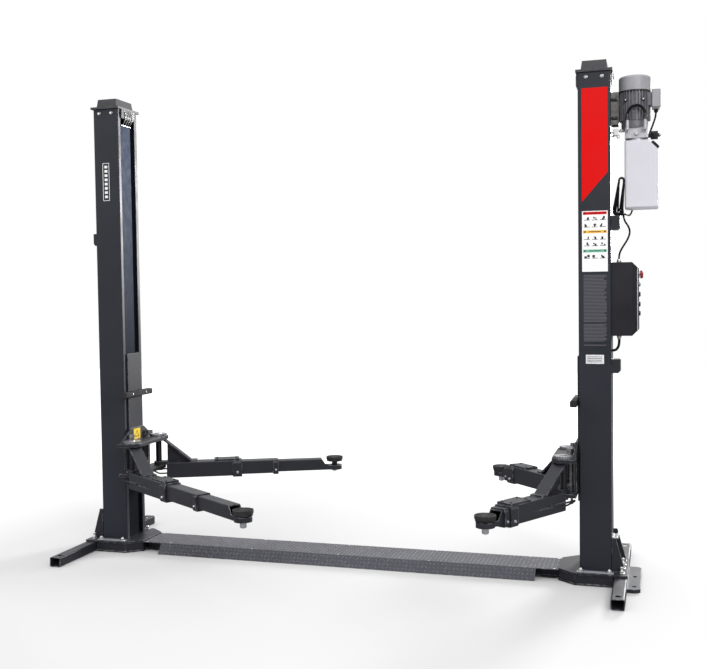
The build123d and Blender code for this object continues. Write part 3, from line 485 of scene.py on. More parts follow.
tank_plastic = moulded("tank_plastic", (0.56, 0.555, 0.60), 0.42, 220.0, 0.0001, 0.15, -0.03)
strip_vinyl = moulded("strip_vinyl", (0.030, 0.044, 0.085), 0.5, 350.0, 0.0001, 0.0, 0.006, 0.05)
# The strips fade to near black below 2.5 m: painted shade deep in the column's slot.
by_height(strip_vinyl, 1.0, 2.5, (0.004, 0.005, 0.008))
nylon = moulded("nylon", (0.62, 0.61, 0.56), 0.45, 300.0, 0.00005, 0.1, -0.05)
black_plastic = moulded("black_plastic", (0.014, 0.014, 0.015), 0.38, dust=0.01)
rubber = moulded("rubber", (0.012, 0.012, 0.013), 0.7, 260.0, 0.00025, 0.0, 0.012)
sheath = moulded("sheath", (0.004, 0.004, 0.005), 0.5, 600.0, 0.00003, 0.0, 0.002, 0.10)
red_plastic = moulded("red_plastic", (0.24, 0.012, 0.03), 0.3, 300.0, 0.00002, 0.05, 0.02)
white_plastic = moulded("white_plastic", (0.72, 0.72, 0.72), 0.35, 300.0, 0.00002, 0.1, -0.04)
green_plastic = moulded("green_plastic", (0.01, 0.22, 0.06), 0.3, 300.0, 0.00002, 0.05, 0.01)
print("nine plastics")

# %% [markdown]
# ### Printed film
# Stickers and silk screened areas are thin films with a plain colour, a little gloss and a little
# fading. The red panel on the right column is the same kind of film, only larger.


# %% Films
def film(name, colour, roughness=0.38):
    """A printed film: one colour, slightly faded in places, on a smooth sheet."""
    finish, tree, shader = new_finish(name, colour, roughness, shine=0.15)
    faded = tuple(0.95 * value + 0.003 for value in colour)
    tree.links.new(
        mixed(tree, ranged(tree, noise(tree, 6, 4), 0.0, 1.0), colour, faded),
        shader.inputs["Base Color"],
    )
    bumps(tree, shader, noise(tree, 150, 2), 0.00002)
    return finish


red_film = film("red_film", (0.60, 0.0, 0.0))
white_film = film("white_film", (0.80, 0.80, 0.81))
amber_film = film("amber_film", (0.74, 0.42, 0.06))
green_film = film("green_film", (0.16, 0.42, 0.30))
yellow_film = film("yellow_film", (0.80, 0.55, 0.03))
black_film = film("black_film", (0.02, 0.02, 0.022))
grey_film = film("grey_film", (0.115, 0.11, 0.125))
strip_film = film("strip_film", (0.26, 0.27, 0.30), 0.3)
print("eight films")

# %% [markdown]
# ### Every CAD node gets its finish
# The record says which slot each node's finish comes from, so one table from slot to finish
# covers them all. A few nodes look unlike the rest of their slot, such as the bare plate that
# carries the motor, and get their own finish after that.

# %% Finishes for the CAD nodes
by_slot = {
    "column_paint": column_paint,
    "frame_paint": frame_paint,
    "tread_plate": cover_paint,
    "strip_vinyl": strip_vinyl,
    "cylinder_steel": enamel,
    "zinc": lock_steel,
    "black_steel": dark_steel,
    "black_rubber": rubber,
    "slider_plastic": nylon,
    "motor_alloy": cast_alloy,
    "tank_plastic": tank_plastic,
    "black_plastic": black_plastic,
    "box_black": box_paint,
    "green_plastic": green_plastic,
    "red_plastic": red_plastic,
    "cable_rubber": sheath,
}
for part in frame["record"]["subparts"]:
    node = frame["nodes"][part["node"]]
    node.data.materials.clear()
    node.data.materials.append(by_slot[part["material_slot"]])
frame["nodes"]["pump_block"].data.materials[0] = pump_alloy
frame["nodes"]["fan_cover"].data.materials[0] = cover_alloy
frame["nodes"]["motor_bracket"].data.materials[0] = bracket_plate
frame["nodes"]["column_caps"].data.materials[0] = cap_paint
for arm in ("left_front", "left_rear", "right_front", "right_rear"):
    frame["nodes"][f"{arm}_pivot_pin"].data.materials[0] = gear_zinc
    frame["nodes"][f"{arm}_pad_screw"].data.materials[0] = pad_steel
print(len(frame["nodes"]), "nodes painted")

# %% [markdown]
# ## Cables and hoses
# One cable leaves the top of the control box, is folded into a hank against the column, and
# goes on to the motor's terminal box. A hose arches over the pump, a thin one runs back into the column,
# and a short, thicker cable drops from the box into the column. Each is one NURBS curve of order 3,
# which stays straight between corners in line and rounds every turn off, as a real cable does.


# %% Cables and hoses
def cord_curve(name, points, diameter, finish):
    """A curve of one open NURBS spline of order 3 that starts and ends at its end points."""
    curve = bpy.data.curves.new(name, "CURVE")
    curve.dimensions = "3D"
    spline = curve.splines.new("NURBS")
    spline.points.add(len(points) - 1)
    flat = np.column_stack([np.asarray(points, float), np.ones(len(points))])
    spline.points.foreach_set("co", flat.ravel())
    spline.order_u = 3
    spline.use_endpoint_u = True
    spline.resolution_u = 8
    curve.bevel_depth = diameter / 2
    curve.bevel_resolution = 4
    curve.use_fill_caps = True
    curve.materials.append(finish)
    cord = bpy.data.objects.new(name, curve)
    bpy.context.scene.collection.objects.link(cord)
    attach(cord, "frame")
    return cord


def cord_length(cord):
    """The length of a curve's own line, measured without its thickness."""
    depth = cord.data.bevel_depth
    cord.data.bevel_depth = 0.0
    line = bpy.data.meshes.new_from_object(cord)
    cord.data.bevel_depth = depth
    points = np.empty(len(line.vertices) * 3)
    line.vertices.foreach_get("co", points)
    steps = np.diff(points.reshape(-1, 3), axis=0)
    return float(np.linalg.norm(steps, axis=1).sum())


print("cords are curves of order 3")

# %% [markdown]
# The power cable's two ends: from the control box's gland in a slack bow up to the hank, and from the
# hank round behind the tank to the gland under the motor's terminal box. The points were chosen to
# follow the cable in the photograph.

# %% Diameters and the power cable's ends
CABLE, CONDUIT, HOSE, RETURN_HOSE = 0.010, 0.014, 0.015, 0.009
to_hank = [
    (1.612, -0.060, 1.768), (1.612, -0.060, 1.794), (1.628, -0.064, 1.828),
    (1.658, -0.069, 1.872), (1.672, -0.073, 1.914), (1.660, -0.075, 1.948),
    (1.640, -0.080, 1.974),
]
from_hank = [
    (1.6395, -0.048, 2.010), (1.646, -0.028, 2.011), (1.650, 0.014, 2.012),
    (1.666, 0.066, 2.009), (1.678, 0.113, 2.040), (1.690, 0.125, 2.110),
    (1.700, 0.127, 2.200), (1.716, 0.128, 2.300), (1.740, 0.124, 2.390),
    (1.770, 0.108, 2.460), (1.794, 0.070, 2.516), (1.805, 0.030, 2.548),
    (1.805, 0.030, 2.577),
]
print("the power cable starts at", to_hank[0])


# %% [markdown]
# ### The hank
# The spare cable is folded in flat turns that stand on the latch cover and lie one behind the other.
# Each turn is narrow at its top and wide at its foot, like a drop. The turns get smaller at their
# foot and lean left and right in turn, so the hank looks like a sheaf. Corners of half octagons lead
# the spline round both ends, and two more corners near the ends of each side keep the sides
# straight, since a short edge next to a long one would pinch the curve.


# %% The hank's turns
def hank_turns(count, foot, head, first_y, last_y):
    """Corners of nested flat turns; foot and head are (x, z, radius) of the rounds at their ends."""
    t = math.tan(math.pi / 8)
    x = np.array([1.0, 1, 1, 1, 1, t, -t, -1, -1, -1, -1, -1, -1, -t, t, 1])
    z = np.array([t, 0, 0, -t, t, 1, 1, t, -t, 0, 0, t, -t, -1, -1, -t])
    share = np.array([0, 0.14, 0.86, 1, 1, 1, 1, 1, 1, 0.86, 0.14, 0, 0, 0, 0, 0])
    x, z, share = (np.tile(value, count) for value in (x, z, share))
    number = np.repeat(np.arange(count), 16)
    inwards = number / (count - 1)
    centre_x, centre_z, radius = (f + share * (h - f) for f, h in zip(foot, head))
    shrunk = radius * (1 - 0.5 * inwards * (1 - share))
    shift = (radius - shrunk) * 0.9 * (1 - 2 * (number % 2))
    rise = (1 - share) * (radius - shrunk) - share * 0.006 * inwards
    y = np.linspace(first_y, last_y, len(x))
    return np.stack([centre_x + shift + shrunk * x, y, centre_z - rise + shrunk * z], -1).tolist()


turns = hank_turns(5, (1.6085, 2.031, 0.0235), (1.6265, 2.188, 0.0125), -0.095, -0.055)[:-1]
print(len(turns), "corners in five turns")

# %% [markdown]
# Their lengths are measured on the curve itself, because a route through corners is longer than
# the curve that cuts them.

# %% The four cords
power_route = to_hank + turns + from_hank
power_cable = cord_curve("power_cable", power_route, CABLE, sheath)
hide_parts("control_cable", "cable_hank")
foot_route = [
    (1.612, -0.060, 1.335), (1.612, -0.060, 1.313), (1.607, -0.060, 1.290),
    (1.592, -0.060, 1.272), (1.572, -0.060, 1.272),
]
foot_cable = cord_curve("foot_cable", foot_route, CONDUIT, sheath)
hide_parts("latch_cable")
arch_route = [
    (1.659, -0.096, 2.519), (1.659, -0.096, 2.554), (1.6835, -0.096, 2.581),
    (1.7215, -0.096, 2.584), (1.750, -0.096, 2.555), (1.750, -0.096, 2.519),
]
arch_hose = cord_curve("arch_hose", arch_route, HOSE, sheath)
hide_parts("pressure_hose")
back_route = [
    (1.630, -0.020, 2.4635), (1.611, -0.020, 2.4635), (1.597, -0.020, 2.4515),
    (1.588, -0.020, 2.4375), (1.572, -0.020, 2.4375),
]
back_hose = cord_curve("back_hose", back_route, RETURN_HOSE, sheath)
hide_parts("return_hose")
for cord, route, size, lay in (
    (power_cable, power_route, CABLE, "coiled"),
    (foot_cable, foot_route, CONDUIT, "hanging"),
    (arch_hose, arch_route, HOSE, "taut"),
    (back_hose, back_route, RETURN_HOSE, "taut"),
):
    measured = cord_length(cord)
    print(cord.name, "is", round(measured, 3), "m long")

# %% [markdown]
# ## Measuring from the frame
# The two columns mirror each other.

# %% Faces that small parts sit on
(INNER, FRONT, FOOT), (OUTER, REAR, TOP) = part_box("right_column")
box_low, box_high = (np.array(corner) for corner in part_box("control_box"))
motor_high = np.array(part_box("motor")[1])
tank_low, tank_high = (np.array(corner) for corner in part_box("oil_tank"))
fan_low, fan_high = (np.array(corner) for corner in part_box("fan_cover"))
MOTOR_X = (fan_low[0] + fan_high[0]) / 2
BOTH = (-1, 1)
print("column", round(OUTER - INNER, 3), "m deep, top at", round(TOP, 3))

# %% [markdown]
# ## Bolts, nuts and anchors
# One function turns a hexagon head over a washer, and another a socket head. The across flats size
# sets the hexagon: its corners lie at size / sqrt(3).


# %% Fasteners
def hex_bolt(size, head, washer=0.0):
    """Hexagon head of a size across flats on a round washer; corners at r = size / sqrt(3)."""
    r = size / math.sqrt(3)
    under = 0.0016 if washer else 0.0
    head_shape = turned(
        [(r, under), (r, under + 0.82 * head), (0.86 * r, under + head), (0.4 * r, under + head)], 6
    )
    if not washer:
        return head_shape
    disc = turned([(washer, 0), (washer, under - 0.0004), (washer - 0.0006, under)])
    return joined([disc, head_shape])


def socket_screw(radius, head):
    """Cap screw made as one turned outline, which dips in at the middle for its socket."""
    rim = [(radius, 0), (radius, 0.85 * head), (0.9 * radius, head), (0.55 * radius, head)]
    return turned(rim + [(0.5 * radius, 0.5 * head)], 18)


def at_places(shape, places, towards):
    """The same shape at several places, all pointing one way."""
    return repeated(moved(shape, (0, 0, 0), towards), places)


print("an M10 head has corners at", round(0.017 / math.sqrt(3), 4), "m")

# %% [markdown]
# Each cap is held by two bolts at the front of its column and two at the rear.

# %% Cap bolts
CAP_BOLT_X, CAP_BOLT_DOWN = (0.043, 0.127), 0.028
cap_places = [
    (side * (INNER + x), y, TOP - CAP_BOLT_DOWN) for side in BOTH for x in CAP_BOLT_X for y in (FRONT, REAR)
]
front_places = [place for place in cap_places if place[1] < 0]
rear_places = [place for place in cap_places if place[1] > 0]
cap_bolt = hex_bolt(0.015, 0.009, 0.0095)
piece(
    "cap_bolts",
    [at_places(cap_bolt, front_places, (0, -1, 0)), at_places(cap_bolt, rear_places, (0, 1, 0))],
    bright_zinc,
)
print(len(cap_places), "cap bolts")

# %% [markdown]
# Each base is held by four anchors, two and two, and a bright strip lies under each pair. An anchor
# is a washer, a hexagon nut and the end of a threaded stud.

# %% Anchors and their strips
ANCHOR_X = (0.010, 0.160)
ANCHOR_Y = 0.160
STRIP_THICK = 0.0035
anchor = joined([
    turned([(0.0145, 0), (0.0145, 0.0025), (0.0135, 0.003)]),
    moved(hex_bolt(0.021, 0.010), (0, 0, 0.003)),
    turned([(0.006, 0.012), (0.006, 0.018), (0.005, 0.019)], 16),
    moved(helix(0.006, 0.0016, 3, 0.0005), (0, 0, 0.0135)),
])
anchor_places = [
    (side * (INNER + x), end * ANCHOR_Y, FOOT + STRIP_THICK)
    for side in BOTH for x in ANCHOR_X for end in BOTH
]
piece("floor_anchors", repeated(anchor, anchor_places), bright_zinc)
backing = bar((0.196, 0.036, STRIP_THICK), 0.0008)
backing_places = [
    (side * (INNER + sum(ANCHOR_X) / 2), end * ANCHOR_Y, FOOT + STRIP_THICK / 2)
    for side in BOTH for end in BOTH
]
piece("anchor_strips", repeated(backing, backing_places), strip_film)
print(len(anchor_places), "anchors")

# %% [markdown]
# Outside each column the base is bolted down on the outrigger tube by four tall bolts with a second
# nut. The right column, which carries the power unit, also has three hose unions above its foot.

# %% Flange bolts and hose unions
FLANGE_OUT, FLANGE_Y = 0.052, (-0.135, -0.040, 0.050, 0.140)
UNION_UP, UNION_Y = 0.165, (-0.035, 0.0, 0.035)
flange_bolt = joined([
    hex_bolt(0.024, 0.011, 0.016),
    turned([(0.0070, 0.011), (0.0070, 0.034), (0.0060, 0.035)], 16),
    moved(helix(0.0070, 0.0020, 6, 0.0006), (0, 0, 0.0125)),
    moved(hex_bolt(0.021, 0.009), (0, 0, 0.0245)),
])
flange_places = [(side * (OUTER + FLANGE_OUT), y, FOOT) for side in BOTH for y in FLANGE_Y]
piece("flange_bolts", repeated(flange_bolt, flange_places), bright_zinc)
union = joined([
    turned([(0.011, 0), (0.011, 0.010), (0.010, 0.011)], 6),
    turned([(0.0075, 0.011), (0.0075, 0.024), (0.0065, 0.025)], 18),
    moved(turned([(0.0095, 0), (0.0095, 0.008), (0.0085, 0.009)], 6), (0, 0, 0.022)),
])
unions = [moved(union, (OUTER, y, FOOT + UNION_UP), (1, 0, 0.15)) for y in UNION_Y]
piece("hose_unions", unions, bright_zinc)
print(len(flange_places), "flange bolts,", len(unions), "unions")

# %% [markdown]
# ## Weld beads
# Each column is welded to its base along its front and rear, and to its gussets. A bead is a wire
# along the seam, with a radius that ripples like a row of overlapping drops.


# %% Beads
def bead(start, end, radius=0.0028, step=0.004):
    """A rippled wire along a straight seam: radius times 1 + 0.12 cos(2 pi s / step)."""
    start, end = np.asarray(start, float), np.asarray(end, float)
    length = np.linalg.norm(end - start)
    rows = max(int(length / step * 3), 3)
    share = np.linspace(0, 1, rows)[:, None]
    along = (end - start) / length
    helper = np.array([0, 0, 1.0]) if abs(along[2]) < 0.9 else np.array([1.0, 0, 0])
    normal = np.cross(along, helper)
    normal /= np.linalg.norm(normal)
    second = np.cross(along, normal)
    angle = np.linspace(0, 2 * np.pi, 8, endpoint=False)[:, None]
    ring = normal * np.cos(angle) + second * np.sin(angle)
    size = radius * (1 + 0.12 * np.cos(2 * np.pi * share * length / step))
    return closed_rows((start + share * (end - start))[:, None] + size[:, None] * ring)


GUSSET_IN, GUSSET_HIGH = 0.008, 0.18
column_seams = []
for side in BOTH:
    inner, outer = side * (INNER + 0.004), side * (OUTER - 0.004)
    for y in (FRONT, REAR):
        column_seams.append(bead((inner, y, FOOT + 0.001), (outer, y, FOOT + 0.001)))
        face = y - math.copysign(GUSSET_IN, y)
        low, high = (side * OUTER, face, FOOT + 0.010), (side * OUTER, face, FOOT + GUSSET_HIGH)
        column_seams.append(bead(low, high))
piece("column_seams", column_seams, column_paint, crease=60)
print(len(column_seams), "beads")

# %% [markdown]
# ## Tread plate
# The drive-over cover is folded from tread plate: rows of small raised lozenges, turned left and right in
# turn. A lozenge is an ellipse that narrows as it rises. They cover the flat top, where they are lighter,
# partly rubbed bright by feet and wheels and partly painted light from above, and both slopes, where a
# darker copy of the same paint is partly painted shade.


# %% Tread
def lozenge(length, width, height):
    """An ellipse of eight corners, drawn in at its top: a raised bar of tread plate."""
    angle = np.linspace(0, 2 * np.pi, 8, endpoint=False)
    outline = np.column_stack([length / 2 * np.cos(angle), width / 2 * np.sin(angle)])
    rows = [(outline, -0.0004), (outline * 0.8, height * 0.8), (outline * 0.5, height)]
    return closed_rows(np.stack([np.column_stack([xy, np.full(8, z)]) for xy, z in rows]))


def tread(centre, across, normal, x_span, rows, spacing):
    """Rows of lozenges along x, stepped across, alternately turned 45 degrees left and right."""
    count = int(2 * x_span / spacing)
    x = (np.arange(count) - (count - 1) / 2) * spacing
    step = (np.arange(rows) - (rows - 1) / 2) * spacing
    grid_x, grid_s = np.meshgrid(x, step)
    odd = (np.indices(grid_x.shape).sum(0) % 2).astype(bool)
    places = np.asarray(centre, float) + grid_x[..., None] * [1.0, 0, 0] + grid_s[..., None] * across
    shape = lozenge(0.0225, 0.0070, 0.0016)
    shapes = []
    for chosen, turn in ((odd, np.pi / 4), (~odd, -np.pi / 4)):
        shapes.append(repeated(moved(shape, (0, 0, 0), normal, turn), places[chosen]))
    return joined(shapes)


print("a lozenge has", len(lozenge(1, 1, 1)[1]), "faces")

# %% [markdown]
# The top has ten rows, and each slope three. A slope's lozenges lie along its own direction, worked
# out from the cover's half widths at its top and foot. Small round screws hold the cover down.

# %% The cover's tread and screws
cover_high = np.array(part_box("floor_cover")[1])
TREAD = 0.023
COVER_HALF, FOOT_HALF, SKIRT_END = 0.120, 0.170, cover_high[0] - 0.1245
slope_along = np.array([0, FOOT_HALF - COVER_HALF, -cover_high[2]])
slope_along /= np.linalg.norm(slope_along)
flat_across, flat_reach = np.array([0, 1.0, 0]), cover_high[0] - 0.006
top_tread = tread((0, 0, cover_high[2]), flat_across, (0, 0, 1.0), flat_reach, 10, TREAD)
piece("cover_tread", top_tread, top_tread_rubbed_and_lit, crease=50)
slope_tread = []
for end in BOTH:
    along = slope_along * [1, end, 1]
    middle = (0, end * (COVER_HALF + FOOT_HALF) / 2, cover_high[2] / 2)
    outwards = np.array([0, -end * along[2], abs(along[1])])
    slope_tread.append(tread(middle, along, outwards, SKIRT_END - 0.008, 3, TREAD))
piece("slope_tread", slope_tread, slope_tread_unrubbed_and_shaded, crease=50)
SCREW_X, SCREW_Y = (-1.262, -1.10, -0.55, 0.0, 0.55, 1.10, 1.262), 0.1118
cover_screws = [(x, end * SCREW_Y, cover_high[2] - 0.0004) for x in SCREW_X for end in BOTH]
piece("cover_screws", repeated(socket_screw(0.0065, 0.0022), cover_screws), bright_zinc)
print(sum(len(points) for points, faces in [top_tread, *slope_tread]) // 24, "lozenges")

# %% [markdown]
# ## Films on the columns
# A red panel fills the top of the right column and ends on a slant. Below it hang a white sheet with
# coloured bands and plain blocks, a field of fine grey lines, and a bright plate. The left column
# carries an outlined box of plain blocks, and its carriage a yellow square with a triangle. Each is
# a thin sheet of a plain outline, laid on the face that carries it.


# %% The red panel
def on_front(shape, x, z, proud=0.0):
    """A flat shape laid on a column's front face, its own x and y along the world's x and z."""
    return moved(shape, (x, FRONT - proud, z), (0, -1, 0))


def box_outline(width, height):
    """Four corners of a rectangle round the origin: plus and minus half its width and height."""
    x, y = width / 2, height / 2
    return [(-x, -y), (x, -y), (x, y), (-x, y)]


PANEL_IN, PANEL_OUT, PANEL_TOP = INNER + 0.021, OUTER - 0.015, 2.688
panel_outline = [(PANEL_IN, 2.080), (PANEL_OUT, 2.235), (PANEL_OUT, PANEL_TOP), (PANEL_IN, PANEL_TOP)]
piece("red_panel", on_front(sheet(panel_outline, 0.0006), 0, 0), red_film)
print("red panel ends at", panel_outline[0][1], "and", panel_outline[1][1])

# %% [markdown]
# The white sheet has a red, an amber and a green band, and rows of three small figures between them.
# A figure is a thin bar with two random blocks on it, which has the weight of a small drawing from
# afar. The seed is fixed, so every run gives the same blocks.

# %% The white sheet
SHEET_X, SHEET_WIDE, SHEET_LOW, SHEET_HIGH = INNER + 0.0885, 0.135, 1.702, 2.029
sheet_tall = SHEET_HIGH - SHEET_LOW
piece(
    "white_sheet",
    on_front(sheet(box_outline(SHEET_WIDE, sheet_tall), 0.0005), SHEET_X, (SHEET_LOW + SHEET_HIGH) / 2),
    white_film,
)
BANDS = {"red": (red_film, 0.037), "amber": (amber_film, 0.342), "green": (green_film, 0.658)}
FIGURE_ROWS = (0.13, 0.245, 0.45, 0.555, 0.76)
band = sheet(box_outline(SHEET_WIDE * 0.92, sheet_tall * 0.047), 0.0003)
for name, (colour, share) in BANDS.items():
    height = SHEET_HIGH - share * sheet_tall
    piece(f"{name}_band", on_front(band, SHEET_X, height, 0.0005), colour)
blocks = []
for colour, share in BANDS.values():
    for x, wide, tall in ((-0.053, 0.010, 0.007), (0.0, 0.062, 0.0034), (0.053, 0.010, 0.007)):
        mark = sheet(box_outline(wide, tall), 0.0002)
        blocks.append(on_front(mark, SHEET_X + x, SHEET_HIGH - share * sheet_tall, 0.0009))
chance = np.random.default_rng(7)
for share in FIGURE_ROWS:
    for column in (-1, 0, 1):
        x, height = SHEET_X + column * SHEET_WIDE * 0.31, SHEET_HIGH - share * sheet_tall
        for number in range(3):
            wide, tall = (0.031, 0.0030) if number == 0 else chance.uniform(0.005, 0.014, 2)
            place = x + (0 if number == 0 else chance.uniform(-0.010, 0.010))
            block = sheet(box_outline(wide, tall), 0.0003 + 0.0001 * number)
            blocks.append(on_front(block, place, height + (number - 1) * 0.006, 0.0005))
piece("dark_blocks", blocks, black_film)
print(len(blocks), "blocks on the white sheet")

# %% [markdown]
# Under the sheet a field of grey lines fills the column's face. Some are short and a few are
# missing, so that the field is uneven. The bright plate below it is a thin silver sheet with
# four rivets and four grey lines.

# %% Fine lines and the bright plate
LINES_LOW, LINES_HIGH, LINES, LINE_WIDE = 1.300, 1.693, 52, 0.121
lines = []
for number in range(LINES):
    if chance.uniform() < 0.06:
        continue
    wide = LINE_WIDE * min(1.0, chance.uniform(0.88, 1.25))
    height = LINES_HIGH - (number + 0.5) * (LINES_HIGH - LINES_LOW) / LINES
    line = sheet(box_outline(wide, 0.0034), 0.0002)
    lines.append(on_front(line, SHEET_X - (LINE_WIDE - wide) / 2, height))
piece("fine_lines", lines, grey_film)

plate_x, plate_z = INNER + 0.0865, 1.227
plate = [on_front(sheet(box_outline(0.096, 0.049), 0.0008), plate_x, plate_z)]
rivet = turned([(0.0021, 0), (0.0021, 0.0007), (0.0012, 0.0013)], 10)
for x in (-0.043, 0.043):
    for z in (-0.0195, 0.0195):
        plate.append(on_front(rivet, plate_x + x, plate_z + z, 0.0008))
piece("bright_plate", plate, plate_silver)
field = [
    on_front(sheet(box_outline(0.078, 0.0035), 0.0002), plate_x - 0.001, plate_z + z, 0.0008)
    for z in (-0.014, -0.005, 0.004, 0.013)
]
piece("plate_lines", field, grey_film)
print(len(lines), "fine lines")

# %% [markdown]
# The outlined box on the left column is four thin bars round a row of eight plain blocks. The yellow
# square rides on the left carriage, so it goes up with it; its triangle is three thin bars.

# %% The outlined box and the yellow square
mark_x, mark_low, mark_high = -(INNER + 0.0900), 2.205, 2.437
mark_middle, mark_tall = (mark_low + mark_high) / 2, mark_high - mark_low
frame_bars = [
    on_front(sheet(box_outline(0.046, 0.003), 0.0004), mark_x, height) for height in (mark_low, mark_high)
]
frame_bars += [
    on_front(sheet(box_outline(0.003, mark_tall), 0.0004), mark_x + x, mark_middle)
    for x in (-0.0215, 0.0215)
]
frame_bars += [
    on_front(sheet(box_outline(0.020, 0.0155), 0.0004), mark_x, mark_low + 0.024 + 0.0265 * number)
    for number in range(8)
]
piece("mark_frame", frame_bars, white_film)

CARRIAGE_FACE, SQUARE_Y, SQUARE_Z = -(INNER - 0.010), -0.009, 0.7275
square_place = (CARRIAGE_FACE + 0.014, SQUARE_Y, SQUARE_Z)
square = moved(sheet(box_outline(0.082, 0.066), 0.0006), square_place, (1, 0, 0))
piece("yellow_square", square, yellow_film, body="left_lift")
edge = np.array([(-0.022, -0.018), (0.022, -0.018), (0.0, 0.020)])
triangle = []
for start, end in zip(edge, np.roll(edge, -1, axis=0)):
    middle, run = (start + end) / 2, end - start
    turn = math.atan2(run[1], run[0])
    strip = bar((np.linalg.norm(run) + 0.003, 0.0034, 0.0006), 0.0001)
    centre = (CARRIAGE_FACE + 0.0149, SQUARE_Y + middle[0], SQUARE_Z + middle[1])
    triangle.append(moved(strip, centre, (1, 0, 0), turn))
piece("black_triangle", triangle, black_film, body="left_lift")
print(len(frame_bars), "bars and blocks in the box")

# %% [markdown]
# ## Strip springs
# A zigzag of bright spring wire pulls each dust strip up to its bar. The wire runs down in front of the
# bar and back to a clamp on the strip. Each leg has three points, every second leg is turned round,
# and points that would lie on each other are dropped, so the whole zigzag is one wire.

# %% Springs over the dust strips
strip_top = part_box("dust_strips")[1][2]
SPRING_TOP, BAR_FACE = TOP - 0.006, INNER - 0.0125
springs, clamps = [], []
for side in BOTH:
    y = np.linspace(-0.052, 0.052, 9)
    path = []
    for number, (here, after) in enumerate(zip(y[:-1], y[1:])):
        upper, lower = (here, after) if number % 2 == 0 else (after, here)
        leg = [
            (side * BAR_FACE, upper, SPRING_TOP),
            (side * BAR_FACE, 0.4 * upper + 0.6 * lower, TOP - 0.058),
            (side * (INNER + 0.011), lower, strip_top - 0.004),
        ]
        path += leg if number % 2 == 0 else leg[::-1]
    distinct = [path[0]] + [b for a, b in zip(path, path[1:]) if np.linalg.norm(np.subtract(a, b)) > 1e-6]
    springs.append(wire(distinct, 0.0023, 8))
    clamps.append(moved(bar((0.005, 0.113, 0.007), 0.001), (side * (INNER + 0.0115), 0, strip_top - 0.006)))
piece("strip_springs", springs, bright_zinc, crease=70)
piece("strip_clamps", clamps, zinc)
print(len(springs), "zigzag springs")

# %% [markdown]
# ## Arms
# Each arm carries stop bolts on its collars, screws in its rub plate, a thread on its pad screw and a
# ribbed ring round its pad. The record holds each arm's pivot and the direction it draws out in, so one
# function finds any place on an arm.

# %% Places on an arm
joints = {joint["name"]: joint for joint in frame["record"]["behaviour"]["joints"]}
ARMS = ("left_front", "left_rear", "right_front", "right_rear")
ARM_MID, ARM_HALF = 0.465, 0.050


def arm_axes(name):
    """Pivot, direction along the arm, and the level direction across it, away from the middle."""
    pivot = np.array(joints[f"{name}_arm_swing"]["pos_m"])
    along = np.array(joints[f"{name}_middle_draw"]["axis"])
    hand = np.cross([0, 0, 1.0], along)
    return pivot, along, hand if hand @ [0, np.sign(pivot[1]), 0] > 0 else -hand


def on_arm(name, reach, across, height):
    """A place on an arm: reach from its pivot, across to its outer side, height above the floor."""
    pivot, along, hand = arm_axes(name)
    return (pivot * [1, 1, 0]) + along * reach + hand * across + np.array([0, 0, height])


def drawn_out(name, stage):
    """How far a stage is drawn out at rest: the joint's lowest value, turned round."""
    return -joints[f"{name}_{stage}_draw"]["range_m"][0]


print({name: np.round(arm_axes(name)[1], 2).tolist() for name in ARMS})

# %% [markdown]
# The collar on each stage has a stop bolt on both sides, which keeps the next stage from falling
# out. Stage by stage they ride on the body that carries them, so they follow when an arm draws out.

# %% Bolts, beads and screws on the arms
stop_bolt = hex_bolt(0.012, 0.007, 0.0085)
small_bolt = hex_bolt(0.009, 0.006, 0.007)
plate_screw = socket_screw(0.0075, 0.004)
ARM_END, OUTER_COLLAR, MIDDLE_END, MIDDLE_COLLAR = 0.540, 0.060, 0.580, 0.034
for name in ARMS:
    hand = arm_axes(name)[2]
    collar_face = ARM_HALF + 0.006
    shapes = []
    for side in BOTH:
        place = on_arm(name, ARM_END - OUTER_COLLAR / 2, side * collar_face, ARM_MID - 0.028)
        shapes.append(moved(stop_bolt, place, side * hand))
    piece(f"{name}_stop_bolts", shapes, zinc, f"{name}_arm")
    screws = [
        moved(plate_screw, on_arm(name, ARM_END - 0.015 - inset, across, ARM_MID + ARM_HALF + 0.0115))
        for inset in (0.020, 0.145) for across in (-0.028, 0.028)
    ]
    piece(f"{name}_plate_screws", screws, dark_steel, f"{name}_arm")
    seams = []
    for side in BOTH:
        foot = on_arm(name, 0.060, side * 0.005, ARM_MID + ARM_HALF)
        head = on_arm(name, 0.200, side * 0.005, ARM_MID + ARM_HALF)
        seams.append(bead(foot, head, 0.0024))
        low = on_arm(name, ARM_END - OUTER_COLLAR, side * (ARM_HALF + 0.001), ARM_MID - 0.045)
        high = on_arm(name, ARM_END - OUTER_COLLAR, side * (ARM_HALF + 0.001), ARM_MID + 0.038)
        seams.append(bead(low, high, 0.0024))
    piece(f"{name}_arm_seams", seams, frame_paint, f"{name}_arm", 60)
    middle = MIDDLE_END + drawn_out(name, "middle") - MIDDLE_COLLAR / 2
    small = [
        moved(small_bolt, on_arm(name, middle, side * 0.0495, ARM_MID - 0.022), side * hand)
        for side in BOTH
    ]
    piece(f"{name}_middle_bolts", small, zinc, f"{name}_middle")
print("arms dressed")

# %% [markdown]
# The pad's screw is threaded, so a helix runs up it. A ribbed ring grips the rubber's rim, ribs
# run out from its middle like spokes, and four small studs hold it down in its dish. All of them
# ride on the body that the pad's screw lifts.


# %% Pads
def on_circle(centre, radius, angle, height):
    """A place on a level circle: x + r cos a, y + r sin a, at a height."""
    return centre[0] + radius * math.cos(angle), centre[1] + radius * math.sin(angle), height


